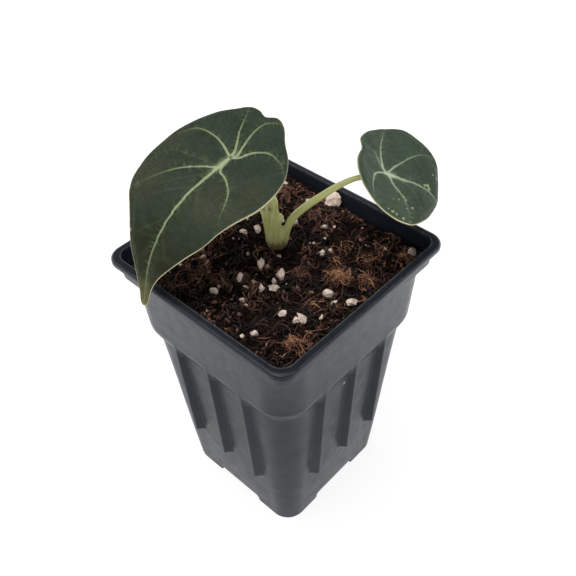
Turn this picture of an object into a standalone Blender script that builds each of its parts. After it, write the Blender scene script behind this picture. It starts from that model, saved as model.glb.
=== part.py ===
"""Potted black velvet alocasia: a young plant with two leaves in a deep square nursery pot.

Sizes are in millimetres and the scene is in metres, with +Z up. The origin is the centre of the
pot's footprint, and the pot's walls are square to X and Y. Each separate piece is one object: the
pot, the soil, the rhizome in it, the two leaf stalks and the two leaf blades.
"""

import math
import random
from typing import NamedTuple

import bmesh
import bpy
from mathutils import Vector

MM = 0.001
GAP = 0.3                    # clearance between pieces that touch

# Pot: driving dimensions.
RIM_HALF = 44.5              # half the width over the rim, a 3.5 inch pot
RIM_TOP = 125.5              # height of the pot, 5 inches deep
RIM_FLANGE = 2.7             # thickness of the rim
SKIRT_HALF = 41.9
SKIRT_FOOT = 116.1           # height at which the skirt under the rim ends
LEDGE = 115.5                # height at which the inside widens to the skirt
COLLAR_TOP_HALF = 40.8
COLLAR_FOOT_HALF = 39.6
COLLAR_FOOT = 91.0           # height at which the collar turns in
BODY_TOP_HALF = 37.3
BODY_TOP = 85.4              # height at which the shoulder meets the body
BODY_FOOT_HALF = 30.6
WALL = 1.0
FOOT_HEIGHT = 1.0            # the floor stands this far above the ground
FOOT_INNER = 12.0            # the feet reach from here to the corner
FOOT_HALF = 30.4
BOTTOM_ROUND = 4.0           # rounding of the wall's foot between the feet
BULGE = 0.7                  # how far the middle of each wall bows outward
BULGE_HEIGHT = 29.5          # height at which it bows most

# Corner radii down the pot.
RIM_CORNER = 6.3
SKIRT_CORNER = 5.2
COLLAR_CORNER = 12.0
FOOT_CORNER = 8.5

# Ribs: three raised ribs on each wall, whose crests run up flush into the collar's foot.
RIB_PITCH = 17.6
RIB_HALF = 2.9               # half the width at the wall's face
RIB_CREST = 0.45             # half the width of the crest
RIB_TOP_RISE = 2.3           # how far a rib stands out of the wall at the body's top
RIB_FOOT_RISE = 3.2          # how far it stands out at its lower end
RIB_FOOT = 34.5              # height at which the crest ends
RIB_NOSE = 3.0               # height over which the lower end slopes back into the wall
RIB_INSIDE = 0.6             # share of a rib's rise that the inside of the wall follows
TUCK_HALF = 11.0             # half the width of the stretch between two feet
TUCK_END = 11.8              # the wall is at its full width from here on
CORNER_STEPS = 4

# Drainage holes in the floor: distance from the centre and radius.
SIDE_HOLE_REACH = 19.0
SIDE_HOLE_RADIUS = 4.0
MID_HOLE_REACH = 8.5         # along both X and Y
MID_HOLE_RADIUS = 3.0
HOLE_SIDES = 16

# Soil.
SOIL_LEVEL = 118.4
SOIL_TILT = (-0.0406, 0.0219)  # the soil rises to the back corner
SOIL_WARP = -0.0007
SOIL_SINK = 0.6              # how far the soil's edge lies below its middle
SOIL_RINGS = 15
LUMPS = 150
SEED = 7

# Plant: the hole that it stands in, whose long axis points to the side where both stalks lie.
STEM_CENTRE = (-5.0, 5.5)
STEM_TURN = 43.9             # degrees from X to the hole's long axis
HOLE_LONG = 4.9
HOLE_SHORT = 3.0
HOLE_FLOOR = 96.0
CROWN_TOP = 118.0            # top of the rhizome
STALK_SIDES = 14
STALK_STEPS = 3              # rings for each stretch of a stalk

# Blades.
BLADE = 0.8                  # thickness
JUNCTION_RIB = 0.9           # how far the ribs stand out under the blade at the stalk
VEIN_RIB = 0.55
QUILT = 0.45                 # how far the blade swells between two veins
GROOVE = 0.3                 # how far a vein is sunk in the upper face


class Level(NamedTuple):
    """One horizontal section of the pot's wall or of the soil inside it."""

    z: float
    half: float
    corner: float
    rib: float = 0.0
    tuck: float = 0.0
    bulge: float = 0.0
    gathered: bool = False   # whether the section's points stand at the ribs' edges


class Grain(NamedTuple):
    """A pale perlite grain that stands out of the soil."""

    x: float
    y: float
    size: float


class Margin(NamedTuple):
    """A point of a leaf's edge, with the two handles of the vein that ends there, if any."""

    along: float
    across: float
    near: tuple | None = None
    far: tuple | None = None


class Ring(NamedTuple):
    """One section of a stalk: its centre, and its half-widths to the left, right and in depth."""

    centre: tuple
    left: float
    right: float
    depth: float


class Leaf(NamedTuple):
    """A hanging blade: where its stalk joins it, how it hangs and its outline."""

    name: str
    junction: tuple
    heading: float           # compass direction of the midrib, degrees from X
    roll: float              # degrees that the blade leans to one side
    twist: float             # further lean for each millimetre along the midrib
    arch: float              # sideways curl, per millimetre
    slopes: tuple            # (distance along the midrib, degrees below level)
    margin: tuple
    ray_spacing: float
    rings: int


PERLITE = (
    Grain(-7, 39, 6.5), Grain(35, 35, 4.8), Grain(-6, -27, 3.6), Grain(26, -2, 3.6), Grain(34, 2, 3.5),
    Grain(10, -12, 4.3), Grain(7, -6, 3.2), Grain(27, -17, 3.4), Grain(19, -32, 3.0), Grain(-17, 7, 3.0),
    Grain(-20, 3, 2.5), Grain(-11, 21, 2.8), Grain(2, 27, 2.2), Grain(-3, -17, 2.6), Grain(1, -19, 2.6),
    Grain(5, -15, 2.5), Grain(-2, -6, 2.4), Grain(7, -24, 2.4), Grain(21, -19, 2.2), Grain(31, -11, 2.2),
    Grain(30, -4, 2.4), Grain(-25, -26, 2.2), Grain(27, -32, 2.2), Grain(-27, 22, 2.8), Grain(-31, -5, 2.6),
    Grain(12, 32, 2.4), Grain(-20, -14, 2.4), Grain(17, 22, 2.2),
)

LARGE_STALK = (
    Ring((-6.5, 4.1, CROWN_TOP + GAP), 2.0, 2.0, 1.9),
    Ring((-5.9, 4.0, 123.0), 2.5, 2.1, 2.0),
    Ring((-5.5, 4.1, 128.0), 3.1, 2.8, 2.1),
    Ring((-5.3, 4.1, 131.8), 3.6, 3.4, 2.1),
    Ring((-5.1, 4.0, 134.6), 4.0, 4.0, 2.0),
    Ring((-4.9, 3.9, 135.7), 4.2, 2.6, 2.0),
    Ring((-4.6, 3.7, 138.2), 4.6, 2.1, 1.9),
    Ring((-4.4, 3.5, 139.4), 2.3, 2.0, 1.9),
    Ring((-3.9, 2.8, 143.5), 1.85, 1.85, 1.8),
    Ring((-6.0, 0.2, 150.0), 1.75, 1.75, 1.75),
    Ring((-9.0, -3.4, 156.2), 1.7, 1.7, 1.7),
)

SMALL_STALK = (
    Ring((-3.4, 6.9, CROWN_TOP + GAP), 1.5, 1.6, 1.6),
    Ring((-2.3, 7.2, 125.5), 1.55, 1.6, 1.55),
    Ring((-1.1, 8.0, 130.3), 1.5, 1.5, 1.5),
    Ring((0.3, 9.4, 134.2), 1.4, 1.45, 1.45),
    Ring((2.9, 11.7, 138.0), 1.4, 1.4, 1.4),
    Ring((7.3, 15.7, 143.0), 1.3, 1.3, 1.3),
    Ring((12.0, 20.9, 147.6), 1.15, 1.15, 1.15),
    Ring((16.6, 26.0, 150.2), 1.0, 1.0, 1.0),
)

LARGE_LEAF = Leaf(
    name="large_leaf",
    junction=(-12.3, -7.7, 163.0),
    heading=-94.0,
    roll=-14.0,
    twist=0.0,
    arch=-0.004,
    slopes=(
        (-20, 46), (-10, 28), (0, 13), (10, 12), (20, 23),
        (30, 40), (40, 57), (50, 70), (60, 76), (66, 77),
    ),
    margin=(
        Margin(-18.8, 0.2),
        Margin(-20.3, 4.4, (-6.0, 0.5), (-15.0, -1.5)),
        Margin(-18.8, 8.0),
        Margin(-14.7, 11.5),
        Margin(-11.0, 15.8),
        Margin(-5.5, 19.4, (-5.0, 2.5), (-12.5, 9.0)),
        Margin(1.5, 20.8),
        Margin(9.0, 20.6),
        Margin(16.5, 19.0),
        Margin(24.0, 17.4, (5.0, 1.0), (6.0, 11.0)),
        Margin(31.0, 15.8),
        Margin(38.0, 12.4),
        Margin(45.0, 8.2),
        Margin(51.5, 4.3),
        Margin(57.5, 2.1),
        Margin(63.6, 0.2, (15.0, 0.5), (40.0, 0.5)),
        Margin(58.0, -2.1),
        Margin(51.4, -4.3),
        Margin(44.3, -8.0),
        Margin(37.9, -11.4),
        Margin(33.0, -15.0),
        Margin(29.0, -18.2, (7.0, -0.5), (15.0, -10.5)),
        Margin(24.0, -20.3),
        Margin(18.5, -21.3, (5.0, -2.0), (8.0, -17.0)),
        Margin(12.5, -22.0),
        Margin(6.0, -22.5, (-3.0, -5.0), (-4.0, -19.0)),
        Margin(-1.5, -22.0),
        Margin(-9.0, -18.0),
        Margin(-15.0, -12.4),
        Margin(-19.0, -7.0, (-5.0, -2.0), (-12.0, -6.0)),
        Margin(-19.7, -3.0),
    ),
    ray_spacing=4.0,
    rings=9,
)

SMALL_LEAF = Leaf(
    name="small_leaf",
    junction=(23.2, 31.9, 152.0),
    heading=31.0,
    roll=4.0,
    twist=0.4,
    arch=0.003,
    slopes=((-16, 52), (-8, 38), (0, 25), (6, 18), (12, 21), (18, 38), (24, 66)),
    margin=(
        Margin(-11.1, 5.2),
        Margin(-12.5, 8.8, (-3.0, 3.0), (-6.5, 6.5)),
        Margin(-11.9, 12.4),
        Margin(-9.6, 16.8),
        Margin(-4.6, 21.4, (-2.0, 5.0), (-5.0, 13.0)),
        Margin(2.2, 24.0),
        Margin(9.6, 20.9),
        Margin(15.6, 15.2, (3.0, 6.0), (9.0, 14.0)),
        Margin(18.8, 8.6),
        Margin(20.8, 2.6),
        Margin(21.8, -1.8, (7.0, 0.6), (15.0, 0.0)),
        Margin(20.5, -7.8),
        Margin(17.6, -14.0),
        Margin(13.2, -19.0, (3.5, -4.0), (8.0, -9.0)),
        Margin(8.4, -20.4),
        Margin(2.6, -19.4),
        Margin(-1.4, -17.5, (-4.5, -2.0), (-4.2, -9.0)),
        Margin(-6.4, -13.7),
        Margin(-10.2, -8.2),
        Margin(-11.8, -2.6),
        Margin(-11.5, 1.6),
    ),
    ray_spacing=3.4,
    rings=7,
)


def clear_scene():
    for thing in list(bpy.data.objects):
        bpy.data.objects.remove(thing, do_unlink=True)


def material(name, colour, roughness):
    """A plain Principled material."""
    made = bpy.data.materials.new(name)
    made.use_nodes = True
    shader = made.node_tree.nodes["Principled BSDF"]
    shader.inputs["Base Color"].default_value = (*colour, 1.0)
    shader.inputs["Roughness"].default_value = roughness
    made.diffuse_color = (*colour, 1.0)
    return made


def add_object(name, points, faces, finish, smooth_angle=35.0):
    """Make one object from points in millimetres."""
    mesh = bpy.data.meshes.new(name)
    mesh.from_pydata([tuple(c * MM for c in p) for p in points], [], faces)
    mesh.update()
    work = bmesh.new()
    work.from_mesh(mesh)
    bmesh.ops.recalc_face_normals(work, faces=work.faces)
    # Short diagonals let both faces of a wall, and the soil against it, bend along the same lines.
    bmesh.ops.triangulate(work, faces=work.faces, quad_method="SHORT_EDGE", ngon_method="EAR_CLIP")
    work.to_mesh(mesh)
    work.free()
    mesh.shade_smooth()
    mesh.set_sharp_from_angle(angle=math.radians(smooth_angle))
    mesh.materials.append(finish)
    made = bpy.data.objects.new(name, mesh)
    bpy.context.scene.collection.objects.link(made)
    return made


def blend(a, b, share):
    return a + (b - a) * share


def ease(share):
    """Smooth step from 0 to 1."""
    share = min(max(share, 0.0), 1.0)
    return share * share * (3.0 - 2.0 * share)


def cubic(p0, p1, p2, p3, share):
    """Catmull-Rom curve between p1 and p2, for points with any number of coordinates."""
    point = []
    for q0, q1, q2, q3 in zip(p0, p1, p2, p3):
        first = q2 - q0
        second = 2.0 * q0 - 5.0 * q1 + 4.0 * q2 - q3
        third = 3.0 * q1 - q0 - 3.0 * q2 + q3
        point.append(q1 + 0.5 * share * (first + share * (second + share * third)))
    return tuple(point)


def skin(loops):
    """Faces between equal closed loops of points, with a cap on each end."""
    count = len(loops[0])
    points = [p for loop in loops for p in loop]
    faces = []
    for row in range(len(loops) - 1):
        base = row * count
        for k in range(count):
            after = (k + 1) % count
            faces.append((base + k, base + after, base + count + after, base + count + k))
    faces.append(tuple(range(count)))
    faces.append(tuple(range(len(points) - count, len(points))))
    return points, faces


def side_stations(level):
    """Distances along one wall at which its section has a point."""
    flat = level.half - level.corner
    stations = []
    for centre in (-RIB_PITCH, 0.0, RIB_PITCH):
        stations += [centre - RIB_HALF, centre - RIB_CREST, centre + RIB_CREST, centre + RIB_HALF]
    stations += [-TUCK_END, -TUCK_HALF, TUCK_HALF, TUCK_END]
    stations.sort()
    if level.gathered:
        return stations
    count = len(stations)
    return [flat * (2.0 * (k + 1) / (count + 1) - 1.0) for k in range(count)]


def section(level, inset=0.0):
    """Closed outline of the square wall at one height, its inside drawn in by an inset."""
    half = level.half - inset
    corner = max(level.corner - inset, 1.0)
    flat = half - corner
    rib = level.rib if inset == 0.0 else RIB_INSIDE * level.rib
    loop = []
    for quarter in range(4):
        turn = quarter * math.pi / 2.0
        side = []
        for x in side_stations(level):
            distance = half + level.bulge * math.cos(0.5 * math.pi * x / half) ** 2
            on_crest = min(abs(x - c) for c in (-RIB_PITCH, 0.0, RIB_PITCH)) < RIB_CREST + 0.1
            if level.gathered and on_crest:
                distance += rib
            if abs(x) <= TUCK_HALF + 0.1:
                distance -= level.tuck
            side.append((x, distance))
        for step in range(CORNER_STEPS + 1):
            angle = math.pi / 2.0 * (1.0 - step / CORNER_STEPS)
            side.append((flat + corner * math.cos(angle), flat + corner * math.sin(angle)))
        c, s = math.cos(turn), math.sin(turn)
        loop += [(x * c + y * s, y * c - x * s, level.z) for x, y in side]
    return loop


def body_half(z):
    """Half-width of the tapered body, at its corners."""
    return blend(BODY_FOOT_HALF, BODY_TOP_HALF, z / BODY_TOP)


def body_corner(z):
    return blend(FOOT_CORNER, COLLAR_CORNER, ease(z / BODY_TOP))


def body_bulge(z):
    """The walls bow outward most at a third of the body's height."""
    rise = ease(z / BULGE_HEIGHT)
    fall = 1.0 - ease((z - BULGE_HEIGHT) / (BODY_TOP - BULGE_HEIGHT))
    return BULGE * rise * fall


def body_level(z, tuck=0.0):
    return Level(z, body_half(z), body_corner(z), 0.0, tuck, body_bulge(z), True)


def ribbed_level(z):
    """The body's section at a height between the ribs' lower ends and the shoulder."""
    rise = blend(RIB_FOOT_RISE, RIB_TOP_RISE, (z - RIB_FOOT) / (BODY_TOP - RIB_FOOT))
    return body_level(z)._replace(rib=rise)


def outer_levels():
    """The outside of the pot from the floor's underside up to the rim's inner edge."""
    levels = []
    for degrees in (0, 30, 60, 90):
        angle = math.radians(degrees)
        z = FOOT_HEIGHT + BOTTOM_ROUND * (1.0 - math.cos(angle))
        levels.append(body_level(z, tuck=BOTTOM_ROUND * (1.0 - math.sin(angle))))
    levels += [
        body_level(15.0),
        body_level(RIB_FOOT - RIB_NOSE),
        ribbed_level(RIB_FOOT),
        ribbed_level(60.0),
        ribbed_level(BODY_TOP),
        Level(COLLAR_FOOT, COLLAR_FOOT_HALF, COLLAR_CORNER, gathered=True),
        Level(SKIRT_FOOT, COLLAR_TOP_HALF, COLLAR_CORNER),
        Level(SKIRT_FOOT, SKIRT_HALF, SKIRT_CORNER),
        Level(RIM_TOP - RIM_FLANGE, SKIRT_HALF, SKIRT_CORNER),
        Level(RIM_TOP - RIM_FLANGE, RIM_HALF, RIM_CORNER),
        Level(RIM_TOP - 0.4, RIM_HALF, RIM_CORNER),
        Level(RIM_TOP, RIM_HALF - 0.4, RIM_CORNER),
    ]
    return levels


def inner_sections(inset, floor):
    """The inside of the pot from its skirt down to its floor, drawn in by an inset."""
    levels = [
        Level(LEDGE + 2.0, SKIRT_HALF, SKIRT_CORNER),
        Level(LEDGE, COLLAR_TOP_HALF, COLLAR_CORNER),
        Level(COLLAR_FOOT + 0.4, COLLAR_FOOT_HALF, COLLAR_CORNER, gathered=True),
        ribbed_level(BODY_TOP + 0.4),
        ribbed_level(60.0),
        ribbed_level(RIB_FOOT + 1.0),
        body_level(RIB_FOOT - RIB_NOSE + 0.6),
        body_level(15.0),
        body_level(FOOT_HEIGHT + BOTTOM_ROUND),
        body_level(floor, tuck=BOTTOM_ROUND * 0.55),
    ]
    return [section(level, inset) for level in levels]


def drum(name, radius, z0, z1, x, y):
    """A round cutter that stands on the floor."""
    loops = []
    for z in (z0, z1):
        loop = []
        for k in range(HOLE_SIDES):
            angle = 2.0 * math.pi * k / HOLE_SIDES
            loop.append((x + radius * math.cos(angle), y + radius * math.sin(angle), z))
        loops.append(loop)
    points, faces = skin(loops)
    made = add_object(name, points, faces, None)
    made.hide_render = True
    made.display_type = "WIRE"
    return made


def foot(quarter, finish):
    """One corner foot of the pot, a rounded pad under the floor."""
    turn = quarter * math.pi / 2.0
    loops = []
    for z, edge in ((0.0, 0.5), (0.5, 0.0), (FOOT_HEIGHT + 0.5, 0.0)):
        half = FOOT_HALF - edge
        inner = FOOT_INNER + edge
        flat = half - FOOT_CORNER
        outline = [(inner, inner), (half, inner)]
        for step in range(CORNER_STEPS + 1):
            angle = math.pi / 2.0 * step / CORNER_STEPS
            outline.append((flat + FOOT_CORNER * math.cos(angle), flat + FOOT_CORNER * math.sin(angle)))
        outline.append((inner, half))
        c, s = math.cos(turn), math.sin(turn)
        loops.append([(x * c - y * s, x * s + y * c, z) for x, y in outline])
    points, faces = skin(loops)
    return add_object(f"foot_{quarter}", points, faces, finish)


def apply_boolean(body, operation, tools):
    """Apply one Boolean with each tool object, and remove the tools."""
    for tool in tools:
        step = body.modifiers.new("cut", "BOOLEAN")
        step.operation = operation
        step.object = tool
        graph = bpy.context.evaluated_depsgraph_get()
        mesh = bpy.data.meshes.new_from_object(body.evaluated_get(graph))
        body.modifiers.clear()
        body.data = mesh
        bpy.data.objects.remove(tool, do_unlink=True)


def make_pot():
    """The pot: one wall skinned up the outside and down the inside, its feet and its holes."""
    finish = material("pot_plastic", (0.030, 0.032, 0.036), 0.34)
    loops = [section(level) for level in outer_levels()]
    loops.append(section(Level(RIM_TOP, SKIRT_HALF - 0.6, SKIRT_CORNER)))
    loops.append(section(Level(RIM_TOP - 0.4, SKIRT_HALF - 1.0, SKIRT_CORNER)))
    loops += inner_sections(WALL, FOOT_HEIGHT + WALL)
    points, faces = skin(loops)
    pot = add_object("pot", points, faces, finish)
    apply_boolean(pot, "UNION", [foot(quarter, finish) for quarter in range(4)])
    holes = []
    for quarter in range(4):
        angle = quarter * math.pi / 2.0
        x, y = math.cos(angle), math.sin(angle)
        holes.append(drum(f"side_hole_{quarter}", SIDE_HOLE_RADIUS, 0.4, FOOT_HEIGHT + WALL + 0.6,
                          SIDE_HOLE_REACH * x, SIDE_HOLE_REACH * y))
        holes.append(drum(f"mid_hole_{quarter}", MID_HOLE_RADIUS, 0.4, FOOT_HEIGHT + WALL + 0.6,
                          MID_HOLE_REACH * (x - y), MID_HOLE_REACH * (x + y)))
    apply_boolean(pot, "DIFFERENCE", holes)
    return pot


def soil_bumps():
    """Seeded crumbs of the mix, as (x, y, radius, height)."""
    draw = random.Random(SEED)
    bumps = []
    reach = COLLAR_TOP_HALF - 3.0
    for _ in range(LUMPS):
        x, y = draw.uniform(-reach, reach), draw.uniform(-reach, reach)
        bumps.append((x, y, draw.uniform(2.0, 4.5), draw.uniform(-0.9, 1.5)))
    bumps += [(grain.x, grain.y, 0.62 * grain.size, 0.5 * grain.size) for grain in PERLITE]
    return bumps


def soil_level(x, y):
    """Height of the soil's surface without its crumbs."""
    return SOIL_LEVEL + SOIL_TILT[0] * x + SOIL_TILT[1] * y + SOIL_WARP * x * y


def soil_height(x, y, bumps):
    """Height of the soil's surface, with its crumbs and perlite grains raised on it."""
    z = soil_level(x, y)
    for bx, by, radius, height in bumps:
        away = math.hypot(x - bx, y - by) / radius
        if away < 1.0:
            z += height * (1.0 - away * away) ** 2
    return z


def stem_ellipse(count, grow=0.0, first=0.0):
    """Points round the hole that the plant stands in."""
    turn = math.radians(STEM_TURN)
    loop = []
    for k in range(count):
        angle = first - 2.0 * math.pi * k / count
        a, b = (HOLE_LONG + grow) * math.cos(angle), (HOLE_SHORT + grow) * math.sin(angle)
        loop.append((STEM_CENTRE[0] + a * math.cos(turn) - b * math.sin(turn),
                     STEM_CENTRE[1] + a * math.sin(turn) + b * math.cos(turn)))
    return loop


def soil_edge(wide, narrow):
    """Outline at which the soil's surface meets the wall, on the ledge or above it."""
    edge = []
    for (x0, y0, z0), (x1, y1, z1) in zip(narrow, wide):
        z = soil_level(x1, y1) - SOIL_SINK
        share = min((z - z0) / (z1 - z0), 1.0)
        edge.append((blend(x0, x1, share), blend(y0, y1, share), z))
    return edge


def make_soil():
    """The soil: it fills the pot, with a raised surface and a plain hole for the plant."""
    finish = material("potting_mix", (0.045, 0.028, 0.020), 0.95)
    bumps = soil_bumps()
    sides = inner_sections(WALL + GAP, FOOT_HEIGHT + WALL + GAP)
    edge = soil_edge(sides[0], sides[1])
    loops = sides[:0:-1] + [edge]
    count = len(edge)
    first = math.atan2(edge[0][1], edge[0][0]) - math.radians(STEM_TURN)
    hole = stem_ellipse(count, first=first)
    for ring in range(1, SOIL_RINGS + 1):
        share = ring / SOIL_RINGS
        loop = []
        for (ex, ey, ez), (hx, hy) in zip(edge, hole):
            x, y = blend(ex, hx, share), blend(ey, hy, share)
            z = SOIL_LEVEL if ring == SOIL_RINGS else soil_height(x, y, bumps)
            loop.append((x, y, blend(ez, z, ease(ring / 2.0))))
        loops.append(loop)
    loops.append([(x, y, HOLE_FLOOR) for x, y in hole])
    points, faces = skin(loops)
    return add_object("soil", points, faces, finish, smooth_angle=180.0)


def make_rhizome():
    """The short rootstock in the soil's hole, under both stalks."""
    finish = material("rhizome_skin", (0.17, 0.13, 0.07), 0.8)
    bottom = HOLE_FLOOR + GAP
    steps = ((bottom, -1.6), (bottom + 3.0, -GAP), (CROWN_TOP - 1.0, -GAP), (CROWN_TOP, -0.9))
    loops = [[(x, y, z) for x, y in stem_ellipse(28, grow)] for z, grow in steps]
    points, faces = skin(loops)
    return add_object("rhizome", points, faces, finish)


class Blade:
    """The curved middle surface of a leaf, in distances along and across its midrib."""

    STEPS = 240

    def __init__(self, leaf):
        self.leaf = leaf
        self.start = leaf.slopes[0][0] - 6.0
        self.pitch = (leaf.slopes[-1][0] + 6.0 - self.start) / self.STEPS
        heading = math.radians(leaf.heading)
        self.ahead = Vector((math.cos(heading), math.sin(heading), 0.0))
        self.side = Vector((-math.sin(heading), math.cos(heading), 0.0))
        spots = [Vector((0.0, 0.0, 0.0))]
        for k in range(self.STEPS):
            slope = self.slope(self.start + (k + 0.5) * self.pitch)
            step = self.ahead * math.cos(slope) - Vector((0.0, 0.0, math.sin(slope)))
            spots.append(spots[-1] + step * self.pitch)
        self.spots = spots
        self.shift = Vector(leaf.junction) - self.spot(0.0)

    def slope(self, along):
        """How steeply the midrib falls at a distance from the stalk, in radians."""
        stops = self.leaf.slopes
        if along <= stops[0][0]:
            return math.radians(stops[0][1])
        for k in range(len(stops) - 1):
            (s0, a0), (s1, a1) = stops[k], stops[k + 1]
            if along <= s1:
                before = stops[max(k - 1, 0)]
                after = stops[min(k + 2, len(stops) - 1)]
                value = cubic((before[1],), (a0,), (a1,), (after[1],), (along - s0) / (s1 - s0))[0]
                return math.radians(value)
        return math.radians(stops[-1][1])

    def spot(self, along):
        place = (along - self.start) / self.pitch
        k = min(max(int(place), 0), self.STEPS - 1)
        return self.spots[k].lerp(self.spots[k + 1], place - k)

    def frame(self, along):
        """Direction across the blade and its upward normal at the midrib."""
        slope = self.slope(along)
        up = self.ahead * math.sin(slope) + Vector((0.0, 0.0, math.cos(slope)))
        lean = math.radians(self.leaf.roll + self.leaf.twist * along)
        across = self.side * math.cos(lean) + up * math.sin(lean)
        normal = up * math.cos(lean) - self.side * math.sin(lean)
        return across, normal

    def point(self, along, across):
        side, normal = self.frame(along)
        return self.spot(along) + self.shift + side * across + normal * (self.leaf.arch * across * across)

    def normal(self, along, across, step=0.3):
        """Unit normal of the curved surface."""
        u = self.point(along + step, across) - self.point(along - step, across)
        v = self.point(along, across + step) - self.point(along, across - step)
        return u.cross(v).normalized()


def leaf_rays(leaf):
    """Lines from the stalk to the margin, as (near handle, far handle, end, share from a vein)."""
    margin = leaf.margin
    count = len(margin)
    veins = [k for k in range(count) if margin[k].near]
    rays = []
    for number, start in enumerate(veins):
        stop = veins[(number + 1) % len(veins)]
        span = (stop - start) % count
        length = sum(math.dist(margin[(start + k) % count][:2], margin[(start + k + 1) % count][:2])
                     for k in range(span))
        pieces = max(2, round(length / leaf.ray_spacing))
        for piece in range(pieces):
            share = piece / pieces
            place = share * span
            k = int(place)
            near = [margin[(start + k + shift) % count][:2] for shift in (-1, 0, 1, 2)]
            end = cubic(*near, place - k)
            a, b = margin[start], margin[stop]
            rays.append((
                tuple(blend(p, q, share) for p, q in zip(a.near, b.near)),
                tuple(blend(p, q, share) for p, q in zip(a.far, b.far)),
                end,
                share,
            ))
    return rays


def on_ray(ray, share):
    """Point of a ray, as distances along and across the midrib."""
    near, far, end, _ = ray
    rest = 1.0 - share
    return tuple(3 * rest * rest * share * a + 3 * rest * share * share * b + share ** 3 * c
                 for a, b, c in zip(near, far, end))


def make_leaf(leaf, finish):
    """A blade of even thickness, quilted between its veins, with ribs under them."""
    blade = Blade(leaf)
    rays = leaf_rays(leaf)
    upper, lower = [], []

    def add_pair(along, across, lift, rib, groove):
        middle = blade.point(along, across)
        normal = blade.normal(along, across)
        upper.append(middle + normal * (BLADE / 2.0 + lift - groove))
        lower.append(middle + normal * (-BLADE / 2.0 + lift - rib))

    add_pair(0.0, 0.0, 0.0, JUNCTION_RIB, GROOVE)
    for ring in range(1, leaf.rings + 1):
        share = (ring / leaf.rings) ** 0.9
        for ray in rays:
            along, across = on_ray(ray, share)
            swell = math.sin(math.pi * ray[3]) * math.sin(math.pi * min(share, 0.96) / 0.96)
            vein = 1.0 if ray[3] == 0.0 else 0.0
            near = 1.0 - ease(share / 0.16)
            fade = 1.0 - share
            rib = max(vein * VEIN_RIB * (0.15 + 1.2 * fade), near * JUNCTION_RIB) * ease(fade / 0.12)
            add_pair(along, across, QUILT * swell, rib, GROOVE * vein * ease(fade / 0.2))

    count = len(rays)
    faces = []
    for k in range(count):
        faces.append((0, 1 + k, 1 + (k + 1) % count))
    for ring in range(leaf.rings - 1):
        base = 1 + ring * count
        for k in range(count):
            a, b = base + k, base + (k + 1) % count
            faces.append((a, a + count, b + count))
            faces.append((a, b + count, b))
    total = len(upper)
    under = [tuple(total + k for k in reversed(face)) for face in faces]
    edge = []
    outer = 1 + (leaf.rings - 1) * count
    for k in range(count):
        a, b = outer + k, outer + (k + 1) % count
        edge.append((a, a + total, b + total))
        edge.append((a, b + total, b))
    return add_object(leaf.name, upper + lower, faces + under + edge, finish, smooth_angle=60.0)


def stalk_top(leaf):
    """Where a stalk ends under its blade, and the direction that its end faces."""
    blade = Blade(leaf)
    normal = blade.normal(0.0, 0.0)
    return Vector(leaf.junction) - normal * (BLADE / 2.0 + JUNCTION_RIB + GAP), normal


def make_stalk(name, rings, leaf, top_radius, finish):
    """A leaf stalk skinned through its sections, cut off flat under the blade."""
    top, facing = stalk_top(leaf)
    stops = [(*ring.centre, ring.left, ring.right, ring.depth) for ring in rings]
    stops.append((*top, top_radius, top_radius, top_radius))
    fine = []
    for k in range(len(stops) - 1):
        around = [stops[min(max(k + shift, 0), len(stops) - 1)] for shift in (-1, 0, 1, 2)]
        for step in range(STALK_STEPS):
            fine.append(cubic(*around, step / STALK_STEPS))
    fine.append(stops[-1])
    turn = math.radians(STEM_TURN)
    sideways = Vector((math.cos(turn), math.sin(turn), 0.0))
    loops = []
    for k, values in enumerate(fine):
        centre = Vector(values[:3])
        left, right, depth = values[3:]
        before, after = Vector(fine[max(k - 1, 0)][:3]), Vector(fine[min(k + 1, len(fine) - 1)][:3])
        ahead = (after - before).normalized()
        if k == 0:
            ahead = Vector((0.0, 0.0, 1.0))
        if k == len(fine) - 1:
            ahead = facing
        wide = (sideways - ahead * sideways.dot(ahead)).normalized()
        deep = ahead.cross(wide)
        loop = []
        for corner in range(STALK_SIDES):
            angle = 2.0 * math.pi * corner / STALK_SIDES
            reach = right if math.cos(angle) > 0.0 else left
            loop.append(centre + wide * (reach * math.cos(angle)) + deep * (depth * math.sin(angle)))
        loops.append(loop)
    points, faces = skin(loops)
    return add_object(name, points, faces, finish)


def main():
    clear_scene()
    leaf_green = material("velvet_leaf", (0.040, 0.060, 0.038), 0.75)
    stalk_green = material("leaf_stalk", (0.24, 0.29, 0.08), 0.5)
    make_pot()
    make_soil()
    make_rhizome()
    make_stalk("large_stalk", LARGE_STALK, LARGE_LEAF, 1.7, stalk_green)
    make_stalk("small_stalk", SMALL_STALK, SMALL_LEAF, 1.0, stalk_green)
    make_leaf(LARGE_LEAF, leaf_green)
    make_leaf(SMALL_LEAF, leaf_green)


main()
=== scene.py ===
"""Looks of a potted black velvet alocasia: nursery pot, potting mix, two stalks, two velvet blades.

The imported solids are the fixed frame. Sizes are in millimetres and become metres where a mesh is
made. The origin is the centre of the pot's footprint, with +Z up.
"""

import itertools
import logging
import math
from dataclasses import dataclass
from enum import Enum

import bmesh
import bpy
import numpy as np
from mathutils import Matrix


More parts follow.
